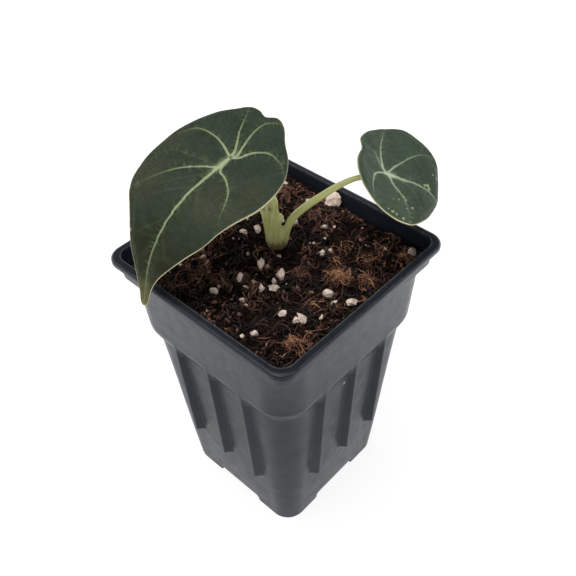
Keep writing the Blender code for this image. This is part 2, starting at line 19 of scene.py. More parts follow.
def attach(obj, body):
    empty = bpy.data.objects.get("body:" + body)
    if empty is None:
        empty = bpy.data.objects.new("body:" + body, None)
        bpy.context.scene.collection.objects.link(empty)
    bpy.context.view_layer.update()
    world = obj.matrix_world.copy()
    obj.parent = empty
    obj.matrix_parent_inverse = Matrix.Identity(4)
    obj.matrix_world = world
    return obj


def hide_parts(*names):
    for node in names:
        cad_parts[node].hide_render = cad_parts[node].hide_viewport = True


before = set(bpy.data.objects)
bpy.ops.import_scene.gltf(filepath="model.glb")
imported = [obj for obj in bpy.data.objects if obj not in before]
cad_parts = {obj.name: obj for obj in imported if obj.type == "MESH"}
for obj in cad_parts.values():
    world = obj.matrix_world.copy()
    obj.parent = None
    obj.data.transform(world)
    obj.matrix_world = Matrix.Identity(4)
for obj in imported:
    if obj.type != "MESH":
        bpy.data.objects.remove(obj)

Array = np.ndarray
Material = bpy.types.Material
Piece = bpy.types.Object
Socket = bpy.types.NodeSocket

LOG = logging.getLogger("alocasia")
MM = 0.001
BODY = "root"
UP = np.array([0.0, 0.0, 1.0])


class Slot(Enum):
    """Material slots of the record."""

    POT = "pot_plastic"
    MIX = "potting_mix"
    RHIZOME = "rhizome_skin"
    STALK = "leaf_stalk"
    LEAF = "velvet_leaf"


class Lump(Enum):
    """Kinds of loose grain in the potting mix."""

    CRUMB = "crumb"
    CHIP = "chip"
    PERLITE = "perlite"


# Small tools


def ease(share: Array | float) -> Array | float:
    """Return a smooth step from 0 to 1."""
    share = np.clip(share, 0.0, 1.0)
    return share * share * (3.0 - 2.0 * share)


def blend(a: float, b: float, share: float) -> float:
    """Return the value that lies a share of the way from a to b."""
    return a + (b - a) * share


def hill(distance: Array, radius: float) -> Array:
    """Return a smooth bump that is 1 at distance 0 and fades out over the radius."""
    return np.exp(-((distance / radius) ** 2))


def mound(x: Array, y: Array, spot_x: float, spot_y: float, radius: float) -> Array:
    """Return a smooth bump over places of a plane that is 1 at one spot."""
    return hill(np.hypot(x - spot_x, y - spot_y), radius)


def lengths(rows: Array) -> Array:
    """Return the length of each vector."""
    return np.linalg.norm(rows, axis=-1)


def unit(rows: Array) -> Array:
    """Return vectors brought to length 1."""
    return rows / lengths(rows)[..., None]


def walked(points: Array) -> Array:
    """Return how far along a line each of its points lies."""
    return np.concatenate([[0.0], np.cumsum(lengths(np.diff(points, axis=0)))])


def quarter_turns() -> list[tuple[float, float]]:
    """Return the cosine and sine of each quarter of a full turn."""
    return [(math.cos(k * math.pi / 2.0), math.sin(k * math.pi / 2.0)) for k in range(4)]


def glide(four: Array, share: float) -> Array:
    """Find a point of a smooth curve.

    Args:
        four: Four neighbouring points that the curve runs through.
        share: How far the point lies along the middle span, from 0 to 1.

    Returns:
        The point.
    """
    p0, p1, p2, p3 = four
    first, second = p2 - p0, 2.0 * p0 - 5.0 * p1 + 4.0 * p2 - p3
    third = 3.0 * p1 - p0 - 3.0 * p2 + p3
    return p1 + 0.5 * share * (first + share * (second + share * third))


def curve_through(points: Array, steps: int) -> Array:
    """Run a smooth open curve through points.

    Args:
        points: Rows of points with any number of coordinates.
        steps: Stretches that each span is divided into.

    Returns:
        The rows of the finer curve, with the last point kept.
    """
    padded = np.vstack([2.0 * points[:1] - points[1:2], points, 2.0 * points[-1:] - points[-2:-1]])
    rows = [glide(padded[k : k + 4], step / steps) for k in range(len(points) - 1) for step in range(steps)]
    return np.array([*rows, points[-1]])


def handle_curve(near: Array, far: Array, end: Array, share: Array) -> Array:
    """Return points of cubic curves that start at the stalk, from their two handles and their ends."""
    return 3.0 * (1.0 - share) ** 2 * share * near + 3.0 * (1.0 - share) * share**2 * far + share**3 * end


class Undulation:
    """Smooth seeded noise over points."""

    CELLS = 37

    def __init__(self, seed: int) -> None:
        """Fill the lattice of the noise."""
        self.lattice = np.random.default_rng(seed).uniform(-1.0, 1.0, (self.CELLS,) * 3)

    def at(self, points: Array, size: float) -> Array:
        """Read the noise.

        Args:
            points: Rows of three coordinates.
            size: Size of one swell, in the points' unit.

        Returns:
            One value from -1 to 1 for each row.
        """
        place = points / size
        low = np.floor(place).astype(int)
        part = ease(place - low)
        total = np.zeros(len(points))
        for corner in itertools.product((0, 1), repeat=3):
            weight = np.ones(len(points))
            for axis in range(3):
                weight = weight * (part[:, axis] if corner[axis] else 1.0 - part[:, axis])
            cell = (low + np.array(corner)) % self.CELLS
            total += weight * self.lattice[cell[:, 0], cell[:, 1], cell[:, 2]]
        return total


def ball(divisions: int) -> tuple[Array, Array]:
    """Return the points and triangles of an even unit ball.

    Args:
        divisions: How often its faces are split.

    Returns:
        Its points and its triangles.
    """
    work = bmesh.new()
    bmesh.ops.create_icosphere(work, subdivisions=divisions, radius=1.0)
    points = np.array([v.co[:] for v in work.verts])
    faces = np.array([[v.index for v in face.verts] for face in work.faces])
    work.free()
    return points, faces


def loft_faces(rows: int, count: int, first: int = 0) -> Array:
    """Return the quads between equal closed loops of points.

    Args:
        rows: Number of loops.
        count: Points in each loop.
        first: Index of the first loop's first point.

    Returns:
        One row of four point indices for each quad.
    """
    row, k = np.meshgrid(np.arange(rows - 1), np.arange(count), indexing="ij")
    a = first + row * count + k
    b = first + row * count + (k + 1) % count
    return np.stack([a, b, b + count, a + count], -1).reshape(-1, 4)


def skin(loops: list[Array]) -> tuple[Array, list]:
    """Close a stack of equal loops into one body.

    Args:
        loops: Closed loops of points from one end to the other.

    Returns:
        The points, and the faces with a cap at each end.
    """
    count = len(loops[0])
    points = np.vstack(loops)
    faces = loft_faces(len(loops), count).tolist()
    faces.append(list(range(count - 1, -1, -1)))
    faces.append(list(range(len(points) - count, len(points))))
    return points, faces


def join(bodies: list[tuple[Array, list]]) -> tuple[Array, list]:
    """Put bodies together as one.

    Args:
        bodies: The points and faces of each.

    Returns:
        The points and faces of all.
    """
    faces, first = [], 0
    for points, own in bodies:
        faces += [[first + k for k in face] for face in own]
        first += len(points)
    return np.vstack([points for points, _ in bodies]), faces


def repeated(faces: Array, count: int, each: int) -> list:
    """Return the faces of equal bodies that follow each other, with so many points each."""
    return (faces[None] + (np.arange(count) * each)[:, None, None]).reshape(-1, faces.shape[1]).tolist()


def make_object(name: str, points: Array, faces: list, materials: list,
                smooth_angle: float | None = 40.0, tidy: bool = False) -> Piece:
    """Make one object.

    Args:
        name: Name of the piece.
        points: Points in millimetres.
        faces: Point indices of each face.
        materials: Materials of its slots.
        smooth_angle: Edges sharper than this many degrees stay sharp, or None for all smooth.
        tidy: Whether the faces are turned outward.

    Returns:
        The object, linked to the scene.
    """
    mesh = bpy.data.meshes.new(name)
    mesh.from_pydata((points * MM).tolist(), [], faces)
    mesh.update()
    if tidy:
        work = bmesh.new()
        work.from_mesh(mesh)
        bmesh.ops.recalc_face_normals(work, faces=work.faces)
        work.to_mesh(mesh)
        work.free()
    mesh.shade_smooth()
    if smooth_angle is not None:
        mesh.set_sharp_from_angle(angle=math.radians(smooth_angle))
    for material in materials:
        mesh.materials.append(material)
    made = bpy.data.objects.new(name, mesh)
    bpy.context.scene.collection.objects.link(made)
    return made


def paint(piece: Piece, name: str, values: Array) -> None:
    """Store one number for each point of a piece under a name that its material reads."""
    layer = piece.data.attributes.new(name, "FLOAT", "POINT")
    layer.data.foreach_set("value", np.asarray(values, np.float32).ravel())


def settle(piece: Piece, slot: Slot, *nodes: str) -> None:
    """Let a piece ride on the model.

    Args:
        piece: The finished piece.
        slot: Not used.
        nodes: Names of the solids that it stands for.
    """
    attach(piece, BODY)
    if nodes:
        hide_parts(*nodes)
    LOG.info("%s: %d points, %d faces", piece.name, len(piece.data.vertices), len(piece.data.polygons))


def apply_modifiers(piece: Piece) -> None:
    """Turn a piece's modifiers into its mesh.

    Args:
        piece: The piece.
    """
    graph = bpy.context.evaluated_depsgraph_get()
    mesh = bpy.data.meshes.new_from_object(piece.evaluated_get(graph))
    piece.modifiers.clear()
    piece.data = mesh


def apply_boolean(piece: Piece, operation: str, tool: Piece) -> None:
    """Cut a tool out of a piece or add it, and remove the tool.

    Args:
        piece: The piece that changes.
        operation: Name of the boolean.
        tool: What is cut out or added.
    """
    step = piece.modifiers.new("boolean", "BOOLEAN")
    step.operation = operation
    step.object = tool
    step.solver = "EXACT"
    apply_modifiers(piece)
    bpy.data.objects.remove(tool, do_unlink=True)


# Finishes


class ShaderDraft:
    """A material's nodes, drawn up one at a time around a Principled shader."""

    def __init__(self, name: str) -> None:
        """Start an empty material.

        Args:
            name: Name of the material.
        """
        self.material = bpy.data.materials.new(name)
        self.material.use_nodes = True
        self.nodes = self.material.node_tree.nodes
        self.links = self.material.node_tree.links
        self.shader = self.nodes["Principled BSDF"]
        self._place = None

    def put(self, socket: Socket, value: object) -> None:
        """Link a socket to another, or set its own value.

        Args:
            socket: The input.
            value: A socket, a number or a colour.
        """
        if isinstance(value, Socket):
            self.links.new(value, socket)
        elif isinstance(value, tuple) and len(value) == 3 and socket.type == "RGBA":
            socket.default_value = (*value, 1.0)
        else:
            socket.default_value = value

    def place(self) -> Socket:
        """Return the surface point in millimetres.

        Returns:
            The point, by the same socket at each call.
        """
        if self._place is None:
            source = self.nodes.new("ShaderNodeTexCoord").outputs["Object"]
            self._place = self.scaled(source, (1.0 / MM,) * 3)
        return self._place

    def coordinates(self) -> tuple:
        """Return the surface point's three coordinates in millimetres.

        Returns:
            The sockets of x, y and z.
        """
        node = self.nodes.new("ShaderNodeSeparateXYZ")
        self.put(node.inputs[0], self.place())
        return tuple(node.outputs)

    def scaled(self, vector: Socket, factors: tuple) -> Socket:
        """Return a vector stretched along each axis.

        Args:
            vector: The vector.
            factors: One factor for each axis.

        Returns:
            The stretched vector.
        """
        node = self.nodes.new("ShaderNodeVectorMath")
        node.operation = "MULTIPLY"
        self.put(node.inputs[0], vector)
        node.inputs[1].default_value = factors
        return node.outputs[0]

    def gather(self, x: object, y: object, z: object) -> Socket:
        """Return a vector made of three numbers.

        Args:
            x: First number.
            y: Second number.
            z: Third number.

        Returns:
            The vector.
        """
        node = self.nodes.new("ShaderNodeCombineXYZ")
        for socket, value in zip(node.inputs, (x, y, z)):
            self.put(socket, value)
        return node.outputs[0]

    def stored(self, name: str) -> Socket:
        """Return a number that the mesh stores.

        Args:
            name: Name under which the mesh stores it.

        Returns:
            The number.
        """
        node = self.nodes.new("ShaderNodeAttribute")
        node.attribute_name = name
        return node.outputs["Fac"]

    def noise(self, size: float, detail: float = 3.0, vector: object = None,
              roughness: float = 0.55) -> Socket:
        """Add a noise.

        Args:
            size: Size of one swell in millimetres.
            detail: Number of finer layers.
            vector: Where it is read, or None for the surface point.
            roughness: How strong the finer layers are.

        Returns:
            The noise, about 0.5 on average.
        """
        node = self.nodes.new("ShaderNodeTexNoise")
        self.put(node.inputs["Vector"], vector or self.place())
        node.inputs["Scale"].default_value = 1.0 / size
        node.inputs["Detail"].default_value = detail
        node.inputs["Roughness"].default_value = roughness
        return node.outputs[0]

    def cells(self, size: float, feature: str = "F1") -> Socket:
        """Return the distance inside seeded cells of one size in millimetres.

        Args:
            size: Size of one cell.
            feature: Which distance is read.

        Returns:
            The distance, as a share of the size.
        """
        node = self.nodes.new("ShaderNodeTexVoronoi")
        node.feature = feature
        self.put(node.inputs["Vector"], self.place())
        node.inputs["Scale"].default_value = 1.0 / size
        return node.outputs["Distance"]

    def calc(self, operation: str, a: object, b: object = 0.0, c: object = 0.0) -> Socket:
        """Return the result of one sum on numbers.

        Args:
            operation: Name of the sum.
            a: First number.
            b: Second number.
            c: Third number.

        Returns:
            The result.
        """
        node = self.nodes.new("ShaderNodeMath")
        node.operation = operation
        for socket, value in zip(node.inputs, (a, b, c)):
            self.put(socket, value)
        return node.outputs[0]

    def times(self, a: object, b: object) -> Socket:
        """Return one number times another."""
        return self.calc("MULTIPLY", a, b)

    def fit(self, value: object, low: float, high: float, start: float = 0.0,
            end: float = 1.0, soft: bool = False) -> Socket:
        """Carry a number from one range to another, held at both ends.

        Args:
            value: The number.
            low: Value that becomes start.
            high: Value that becomes end.
            start: First result.
            end: Last result.
            soft: Whether the ends run in smoothly.

        Returns:
            The new number.
        """
        node = self.nodes.new("ShaderNodeMapRange")
        node.interpolation_type = "SMOOTHSTEP" if soft else "LINEAR"
        for socket, number in zip(node.inputs, (value, low, high, start, end)):
            self.put(socket, number)
        return node.outputs[0]

    def ramp(self, value: object, stops: tuple) -> Socket:
        """Return a colour from stops of (position, colour).

        Args:
            value: Where the ramp is read.
            stops: The stops, in order.

        Returns:
            The colour.
        """
        node = self.nodes.new("ShaderNodeValToRGB")
        self.put(node.inputs[0], value)
        elements = node.color_ramp.elements
        while len(elements) < len(stops):
            elements.new(0.5)
        for element, (position, colour) in zip(elements, stops):
            element.position = position
            element.color = (*colour, 1.0)
        return node.outputs[0]

    def mix(self, factor: object, a: object, b: object, way: str = "MIX") -> Socket:
        """Return two colours mixed by a factor.

        Args:
            factor: Share of the second colour.
            a: First colour.
            b: Second colour.
            way: Name of the blend.

        Returns:
            The mixed colour.
        """
        node = self.nodes.new("ShaderNodeMix")
        node.data_type = "RGBA"
        node.blend_type = way
        for socket, value in zip((node.inputs[0], node.inputs[6], node.inputs[7]), (factor, a, b)):
            self.put(socket, value)
        return node.outputs[2]

    def bump(self, height: object, depth: float, normal: object = None) -> Socket:
        """Return a normal raised by a height whose full range is depth millimetres.

        Args:
            height: The height, from 0 to 1.
            depth: Its full range.
            normal: A normal to start from, or None for the surface's own.

        Returns:
            The new normal.
        """
        node = self.nodes.new("ShaderNodeBump")
        node.inputs["Strength"].default_value = 1.0
        node.inputs["Distance"].default_value = depth * MM
        self.put(node.inputs["Height"], height)
        if normal is not None:
            self.put(node.inputs["Normal"], normal)
        return node.outputs[0]

    def spot(self, centre: tuple, radius: float) -> Socket:
        """Return a mask of one small ragged spot at a point in millimetres.

        Args:
            centre: Middle of the spot.
            radius: Its radius.

        Returns:
            The mask, 1 on the spot.
        """
        node = self.nodes.new("ShaderNodeVectorMath")
        node.operation = "DISTANCE"
        self.put(node.inputs[0], self.place())
        node.inputs[1].default_value = centre
        ragged = 0.4 * radius
        edge = self.calc("MULTIPLY_ADD", self.noise(radius * 0.7), ragged * 2.0, -ragged)
        away = self.calc("ADD", node.outputs["Value"], edge)
        return self.fit(away, radius, radius * 0.6, soft=True)

    def close(self, colour: object, roughness: object, normal: object = None, **steady: object) -> Material:
        """Finish the material.

        Args:
            colour: Base colour.
            roughness: Roughness.
            normal: Raised normal, if any.
            steady: Values set directly on the shader's sockets, with _ for each space in a name.

        Returns:
            The material.
        """
        self.put(self.shader.inputs["Base Color"], colour)
        self.put(self.shader.inputs["Roughness"], roughness)
        if normal is not None:
            self.put(self.shader.inputs["Normal"], normal)
        for name, value in steady.items():
            self.put(self.shader.inputs[name.replace("_", " ")], value)
        return self.material


@dataclass(frozen=True)
class PotPlastic:
    """Satin black moulded plastic, with scuffs, dust, smudges and painted highlight lines along the rim's
    top.
    """

    colour: tuple = (0.0076, 0.01, 0.0148)
    dust: tuple = (0.16, 0.13, 0.1)
    scratch: tuple = (0.1, 0.105, 0.11)
    roughness: float = 0.31
    marks: tuple = (
        ((-18.8, -40.6, 111.9), 0.8, (0.003, 0.0028, 0.0025)),
        ((-11.2, -34.0, 40.0), 1.0, (0.06, 0.052, 0.034)),
        ((-8.6, -34.0, 39.4), 1.0, (0.06, 0.052, 0.034)),
        ((-6.4, -34.0, 39.9), 0.6, (0.003, 0.003, 0.003)),
        ((14.0, -40.3, 104.3), 0.6, (0.14, 0.12, 0.1)),
        ((36.8, -4.0, 81.0), 0.9, (0.22, 0.22, 0.22)),
        ((-0.4, -30.8, 3.0), 0.7, (0.2, 0.19, 0.17)),
    )
    # Painted highlights: light lines along the rim's inner and outer top edges.
    rim_highlight_lines: tuple = ((41.65, 5.0, 0.34, (0.062, 0.072, 0.075)), (43.9, 5.7, 0.16, (0.058, 0.061, 0.065)))
    rim_highlight_lines_above: tuple = (124.4, 124.8)

    def make(self) -> Material:
        """Make the material.

        Returns:
            The material.
        """
        draft = ShaderDraft("pot_plastic_satin")
        cloud = draft.noise(9.0, 4.0)
        fine = draft.noise(0.22, 2.0)
        streak = draft.noise(1.0, 3.0, draft.scaled(draft.place(), (1.0, 1.0, 0.06)))
        colour = draft.mix(draft.fit(cloud, 0.35, 0.7), self.colour, tuple(1.5 * c for c in self.colour))
        colour = draft.mix(draft.fit(streak, 0.66, 0.74, 0.0, 0.1), colour, self.scratch)
        specks = draft.fit(draft.cells(2.6), 0.11, 0.05, 0.0, 0.55)
        patchy = draft.fit(draft.noise(14.0, 2.0), 0.5, 0.68)
        colour = draft.mix(draft.times(specks, patchy), colour, self.dust)
        for centre, radius, tone in self.marks:
            colour = draft.mix(draft.spot(centre, radius), colour, tone)
        # Paint the highlight lines along the rim's top edges.
        for radius, corner, width, tone in self.rim_highlight_lines:
            colour = draft.mix(self.edge(draft, radius, corner, width), colour, tone)
        roughness = draft.fit(draft.noise(5.0, 4.0), 0.3, 0.7, self.roughness - 0.05, self.roughness + 0.07)
        normal = draft.bump(fine, 0.012)
        normal = draft.bump(draft.noise(16.0, 1.0), 0.1, normal)
        return draft.close(colour, roughness, normal, IOR=1.5, Specular_IOR_Level=0.15)

    def edge(self, draft: ShaderDraft, radius: float, corner: float, width: float) -> Socket:
        """Mask a painted highlight line along the rim's top.

        Args:
            draft: The material's nodes.
            radius: Distance of the line from the pot's middle.
            corner: Radius of its corners.
            width: How far it reaches to both sides.

        Returns:
            The mask, from 0 to 1.
        """
        x, y, z = draft.coordinates()
        over = [draft.calc("SUBTRACT", draft.calc("ABSOLUTE", way), radius - corner) for way in (x, y)]
        x, y = (draft.calc("MAXIMUM", way, 0.0) for way in over)
        out = draft.calc("SQRT", draft.calc("MULTIPLY_ADD", x, x, draft.times(y, y)))
        away = draft.calc("ABSOLUTE", draft.calc("SUBTRACT", out, corner))
        line = draft.times(draft.fit(away, width, 0.3 * width), draft.fit(z, *self.rim_highlight_lines_above))
        return draft.times(line, draft.fit(draft.noise(1.6, 3.0), 0.35, 0.65, 0.35, 1.0))


@dataclass(frozen=True)
class MixBed:
    """The dark peat under the loose crumbs and fibres; its near-black stop is painted shade for the gaps
    between them.
    """

    # Near-black stop: painted shade that shows in the gaps between the grains.
    dark: tuple = (0.0035, 0.0028, 0.0028)
    brown: tuple = (0.03, 0.015, 0.01)
    light: tuple = (0.11, 0.052, 0.032)

    def make(self) -> Material:
        """Make the material.

        Returns:
            The material.
        """
        draft = ShaderDraft("potting_mix_bed")
        grain = draft.noise(0.9, 5.0, roughness=0.7)
        patch = draft.noise(4.0, 3.0)
        both = draft.times(grain, draft.fit(patch, 0.3, 0.7, 0.7, 1.25))
        colour = draft.ramp(both, ((0.38, self.dark), (0.66, self.brown), (0.82, self.light)))
        normal = draft.bump(draft.noise(0.5, 4.0, roughness=0.7), 0.45)
        return draft.close(colour, 0.95, normal, Specular_IOR_Level=0.05)


@dataclass(frozen=True)
class LooseBits:
    """Loose pieces of the mix, whose tone runs from dark to light by each piece's tint."""

    name: str
    tones: tuple
    grain: float = 0.35
    roughness: float = 0.9
    gloss: float = 0.08

    def make(self) -> Material:
        """Make the material.

        Returns:
            The material.
        """
        draft = ShaderDraft(self.name)
        spread = draft.fit(draft.noise(self.grain, 3.0), 0.3, 0.7, -0.1, 0.1)
        tint = draft.calc("ADD", draft.stored("tint"), spread)
        steps = len(self.tones) - 1
        colour = draft.ramp(tint, tuple((k / steps, tone) for k, tone in enumerate(self.tones)))
        normal = draft.bump(draft.noise(self.grain * 0.6, 3.0), 0.12)
        return draft.close(colour, self.roughness, normal, Specular_IOR_Level=self.gloss)


@dataclass(frozen=True)
class PerliteGlass:
    """Off-white expanded grains with traces of peat, painted darker as shade in their pits."""

    pale: tuple = (0.76, 0.62, 0.545)
    # Colour of the painted shade in the grains' pits.
    pit_shade: tuple = (0.42, 0.3, 0.24)
    peat: tuple = (0.16, 0.095, 0.065)

    def make(self) -> Material:
        """Make the material.

        Returns:
            The material.
        """
        draft = ShaderDraft("perlite_grains")
        pits = draft.fit(draft.cells(0.55), 0.1, 0.55)
        cloud = draft.noise(0.8, 3.0)
        # Painted shade: the colour darkens in the same pits that the bump sinks.
        colour = draft.mix(draft.calc("POWER", pits, 0.6), self.pit_shade, self.pale)
        stain = draft.fit(draft.calc("ADD", cloud, draft.stored("tint")), 0.66, 1.2)
        colour = draft.mix(stain, colour, self.peat)
        normal = draft.bump(pits, 0.16)
        normal = draft.bump(draft.noise(0.25, 3.0), 0.07, normal)
        return draft.close(colour, 0.85, normal, Specular_IOR_Level=0.3, Subsurface_Weight=0.12,
                           Subsurface_Radius=(0.6, 0.5, 0.4), Subsurface_Scale=0.0008)


@dataclass(frozen=True)
class StalkSkin:
    """Smooth green stalk skin, finely striped lengthwise, paler and brownish at its foot."""

    green: tuple = (0.205, 0.23, 0.066)
    pale: tuple = (0.43, 0.42, 0.185)
    cloud: tuple = (0.32, 0.32, 0.1)
    base: tuple = (0.44, 0.4, 0.19)
    soil: tuple = (0.075, 0.045, 0.03)
    # Colour of the painted shade in the sheath's carved slits.
    shaded_slit: tuple = (0.07, 0.055, 0.022)
    sheath: tuple = (0.5, 0.5, 0.27)

    def make(self) -> Material:
        """Make the material.

        Returns:
            The material.
        """
        draft = ShaderDraft("leaf_stalk_skin")
        around = draft.stored("around")
        length = draft.stored("length")
        lengthwise = draft.gather(draft.times(around, 3.2), 0.0, draft.times(length, 0.07))
        stripes = draft.noise(1.0, 3.0, lengthwise)
        colour = draft.mix(draft.fit(stripes, 0.36, 0.74), self.green, self.pale)
        colour = draft.mix(draft.fit(draft.noise(4.0, 2.0), 0.45, 0.75, 0.0, 0.35), colour, self.cloud)
        foot = draft.fit(length, 9.0, 0.5, soft=True)
        colour = draft.mix(draft.times(foot, 0.75), colour, self.base)
        ragged = draft.fit(draft.noise(1.1, 4.0), 0.3, 0.7, -1.4, 1.4)
        soil = draft.fit(draft.calc("ADD", length, ragged), 8.2, 3.6, 0.0, 0.88, soft=True)
        colour = draft.mix(soil, colour, self.soil)
        # Painted shade in the slits that are carved into the sheath.
        colour = draft.mix(draft.stored("shaded_slit"), colour, self.shaded_slit)
        colour = draft.mix(draft.stored("sheath"), colour, self.sheath)
        normal = draft.bump(stripes, 0.1)
        return draft.close(colour, draft.fit(stripes, 0.3, 0.7, 0.42, 0.55), normal, Specular_IOR_Level=0.45,
                           Subsurface_Weight=0.18, Subsurface_Radius=(0.5, 0.7, 0.2), Subsurface_Scale=0.0015)


@dataclass(frozen=True)
class RhizomeSkin:
    """Ringed brown skin of the short rootstock."""

    dark: tuple = (0.07, 0.045, 0.022)
    light: tuple = (0.26, 0.19, 0.1)
    pale: tuple = (0.36, 0.28, 0.16)

    def make(self) -> Material:
        """Make the material.

        Returns:
            The material.
        """
        draft = ShaderDraft("rhizome_ringed_skin")
        rings = draft.noise(1.0, 4.0, draft.scaled(draft.place(), (0.25, 0.25, 1.1)))
        colour = draft.ramp(rings, ((0.3, self.dark), (0.6, self.light), (0.8, self.pale)))
        normal = draft.bump(rings, 0.4)
        return draft.close(colour, 0.8, normal, Specular_IOR_Level=0.3)


@dataclass(frozen=True)
class VelvetLeaf:
    """Upper face of a blade: dark velvet with pale veins that feather out into it."""

    name: str
    deep: tuple
    lighter: tuple
    # Colour of the painted shade on the steep lower blade, also a more olive green.
    low: tuple
    tip: tuple
    vein: tuple
    side_vein: tuple
    heart: tuple = (0.304, 0.376, 0.205)
    margin: tuple = (0.54, 0.51, 0.33)
    flush: tuple = (0.068, 0.058, 0.028)
    torn: tuple = (0.33, 0.38, 0.21)
    # Colour of the painted shade in the dent where the stalk joins.
    pit_shade: tuple = (0.02, 0.022, 0.012)

    def make(self) -> Material:
        """Make the material.

        Returns:
            The material.
        """
        draft = ShaderDraft(self.name)
        stored = draft.stored
        side, run, key = (stored(name) for name in ("side", "run", "key"))

        def combed(along: float, across: float, detail: float) -> Socket:
            """Return a noise drawn out away from the nearest vein, in spurs along it."""
            spurs = draft.gather(draft.times(run, along), draft.times(side, across), draft.times(key, 7.0))
            return draft.noise(1.0, detail, spurs)

        colour = draft.mix(draft.fit(draft.noise(7.0, 4.0), 0.35, 0.7), self.deep, self.lighter)
        grain = draft.fit(draft.noise(1.3, 5.0, roughness=0.75), 0.45, 0.72, 0.0, 0.4)
        colour = draft.mix(grain, colour, tuple(1.9 * c for c in self.lighter))
        # Painted shade: the steep lower part of the blade is darkened, and turns more olive.
        colour = draft.mix(stored("low"), colour, self.low)
        colour = draft.mix(stored("tipward"), colour, self.tip)
        mottle = draft.fit(draft.noise(0.9, 4.0, roughness=0.65), 0.35, 0.7)
        colour = draft.mix(draft.times(stored("flush"), mottle), colour, self.flush)
        plush = draft.noise(0.35, 3.0)
        colour = draft.mix(draft.fit(plush, 0.35, 0.7, 0.0, 0.55), colour, (0.6, 0.6, 0.6), "SOFT_LIGHT")
        feather, streaks = combed(1.9, 0.35, 3.0), combed(0.75, 0.16, 4.0)
        colour = draft.mix(draft.fit(streaks, 0.48, 0.72, 0.0, 0.22), colour,
                           tuple(2.0 * c for c in self.lighter))
        reach = draft.times(draft.fit(feather, 0.5, 0.72), stored("feather"))
        colour = draft.mix(draft.times(reach, 0.78), colour, self.side_vein)
        faint = draft.times(stored("fine"), draft.fit(draft.noise(1.2, 2.0), 0.3, 0.6, 0.5, 1.0))
        colour = draft.mix(draft.times(faint, 0.25), colour, self.side_vein)
        wobble = draft.fit(draft.noise(1.1, 2.0), 0.3, 0.7, -0.08, 0.08)
        away = draft.calc("ABSOLUTE", side)
        inside = draft.calc("SUBTRACT", draft.calc("ADD", stored("half"), wobble), away)
        line = draft.times(draft.fit(inside, -0.26, 0.2, soft=True), draft.fit(stored("near"), 0.02, 0.15))
        line = draft.times(line, stored("strength"))
        colour = draft.mix(line, colour, draft.mix(stored("pale"), self.side_vein, self.vein))
        colour = draft.mix(stored("heart"), colour, self.heart)
        ragged = draft.fit(draft.noise(0.55, 3.0), 0.3, 0.7, -0.55, 0.25)
        speck = draft.fit(draft.calc("ADD", stored("specks"), ragged), 0.22, 0.42)
        colour = draft.mix(draft.times(speck, 0.6), colour, self.torn)
        # Painted shade in the small dent where the stalk joins the blade.
        colour = draft.mix(stored("pit_shade"), colour, self.pit_shade)
        colour = draft.mix(stored("rim"), colour, self.margin)
        normal = draft.bump(plush, 0.05)
        for height, depth in ((draft.noise(1.3, 3.0), 0.1), (feather, 0.1), (draft.noise(3.2, 2.0), 0.4)):
            normal = draft.bump(height, depth, normal)
        roughness = draft.fit(line, 0.0, 1.0, 0.72, 0.5)
        return draft.close(colour, roughness, normal, Specular_IOR_Level=0.13, Sheen_Weight=0.04,
                           Sheen_Roughness=0.45, Sheen_Tint=(0.8, 0.85, 0.78, 1.0))


@dataclass(frozen=True)
class LeafUnderside:
    """Lower face of a blade: pale grey-green with a purple breath and light ribs."""

    green: tuple = (0.165, 0.185, 0.115)
    purple: tuple = (0.135, 0.085, 0.085)
    rib: tuple = (0.33, 0.36, 0.17)
    margin: tuple = (0.44, 0.42, 0.24)

    def make(self) -> Material:
        """Make the material.

        Returns:
            The material.
        """
        draft = ShaderDraft("leaf_underside")
        colour = draft.mix(draft.fit(draft.noise(6.0, 4.0), 0.42, 0.7), self.green, self.purple)
        away = draft.calc("ABSOLUTE", draft.stored("side"))
        inside = draft.calc("SUBTRACT", draft.times(draft.stored("half"), 1.5), away)
        near = draft.fit(draft.stored("near"), 0.02, 0.15)
        line = draft.times(draft.fit(inside, -0.2, 0.2, soft=True), near)
        colour = draft.mix(line, colour, self.rib)
        colour = draft.mix(draft.stored("rim"), colour, self.margin)
        normal = draft.bump(draft.cells(0.8, "SMOOTH_F1"), 0.12)
        return draft.close(colour, 0.6, normal, Specular_IOR_Level=0.35)


# Nursery pot


@dataclass(frozen=True)
class Level:
    """One horizontal section of the pot, and how softly the wall's profile turns there."""

    z: float
    half: float
    corner: float
    rib: float = 0.0
    tuck: float = 0.0
    bulge: float = 0.0
    turn: float = 0.0

    def row(self) -> Array:
        """Return the six shape numbers of the level."""
        return np.array([self.z, self.half, self.corner, self.rib, self.tuck, self.bulge])


